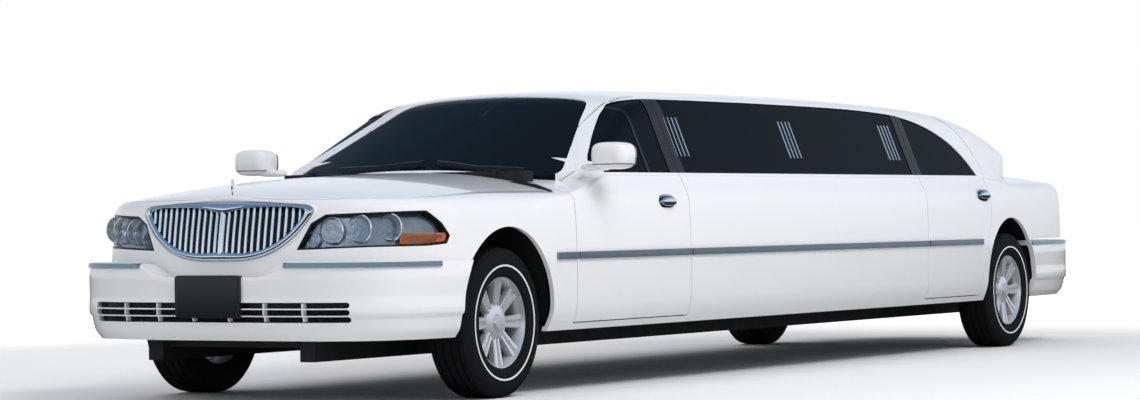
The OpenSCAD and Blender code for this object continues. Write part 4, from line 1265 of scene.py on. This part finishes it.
for name, y, nodes in (("driver_seat", 0.400, ("front_seats",)), ("front_passenger_seat", -0.400, ())):
    obj = seat(FRONT - 1.130, y, 0.540, name)
    fitted(rounded(obj, 60), "body", "seat_leather", *nodes)
bench_x0, bench_x1 = REAR + 1.500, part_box("bar_cabinet")[1][0]
rear_bench = seat(REAR + 1.080, 0.0, 1.300, "rear_bench", False)
fitted(rounded(rear_bench, 60), "body", "seat_leather", "passenger_seats")
side_bench = joined([cushion((bench_x0, -0.840, 0.30), (bench_x1, -0.380, 0.560), 0, 0.16),
                     cushion((bench_x0, -0.840, 0.54), (bench_x1, -0.700, 0.960), 0, 0.16, front=1)],
                     "side_bench")
fitted(rounded(side_bench, 60), "body", "seat_leather")

# ---- Chassis, driveline and cabin fittings ----
# The CAD pieces that are seen as they are: painted frame, cast engine, axle and hubs, steel exhaust
# and tank, moulded plastic trim, veneered bar cabinet.
chassis = Finish("chassis_black", (0.012, 0.012, 0.013), Roughness=0.6, Specular_IOR_Level=0.3)
chassis.set("Roughness", chassis.spread(chassis.noise(9.0), 0.5, 0.75))
chassis.bump(chassis.noise(70.0), 0.2, 0.001)
cast = Finish("cast_metal", (0.05, 0.05, 0.052), Metallic=0.5, Roughness=0.6)
cast.set("Base Color", cast.mixed(cast.noise(14.0), (0.035, 0.034, 0.034), (0.075, 0.07, 0.065)))
cast.bump(cast.noise(120.0), 0.4, 0.001)
steel = Finish("exhaust_steel", (0.30, 0.29, 0.28), Metallic=0.85, Roughness=0.4)
steel.set("Base Color", steel.mixed(steel.noise(7.0), (0.18, 0.16, 0.14), (0.36, 0.35, 0.34)))
steel.bump(steel.noise(90.0), 0.15, 0.0006)
plastic = Finish("cabin_plastic", (0.022, 0.022, 0.024), Roughness=0.6)
plastic.set("Roughness", plastic.spread(plastic.noise(30.0), 0.5, 0.7))
plastic.bump(plastic.node("ShaderNodeTexVoronoi", Vector=plastic.place(), Scale=400.0), 0.2, 0.0005)
wood = Finish("cabinet_wood", (0.14, 0.06, 0.025), Roughness=0.3, Coat_Weight=0.5)
figure = wood.node("ShaderNodeTexWave", {"wave_type": "BANDS", "bands_direction": "Z"}, Vector=wood.place(),
                   Scale=9.0, Distortion=4.0, Detail=3.0, Detail_Scale=2.0)
wood.set("Base Color", wood.mixed(figure, (0.16, 0.07, 0.028), (0.07, 0.028, 0.012)))
wood.bump(figure, 0.08, 0.0005)
for finish, names in ((chassis, ("frame_rails", "floor_pan", "fuel_tank", "radiator", "wheel_housings",
                                 "firewall", "cowl_panel")),
                      (cast, ("engine_block", "drive_shaft", "rear_axle", "front_suspension", "knuckle_left",
                              "knuckle_right")),
                      (steel, ("exhaust_system",)), (plastic, ("dashboard", "steering_wheel", "partition",
                              "rear_bulkhead")), (wood, ("bar_cabinet",))):
    for name in names:
        mesh = frame["nodes"][name].data
        mesh.materials.clear()
        mesh.materials.append(finish.material)

# ---- Clearing up ----
# The forms and cutting tools that shaped the panels are taken out.
for obj in list(bpy.data.objects):
    if obj.name.startswith(("cutter", "joined", "lower_", "cabin_form", "cabin_core", "outer_",
                            "inner_")) and obj.type == "MESH":
        bpy.data.objects.remove(obj)
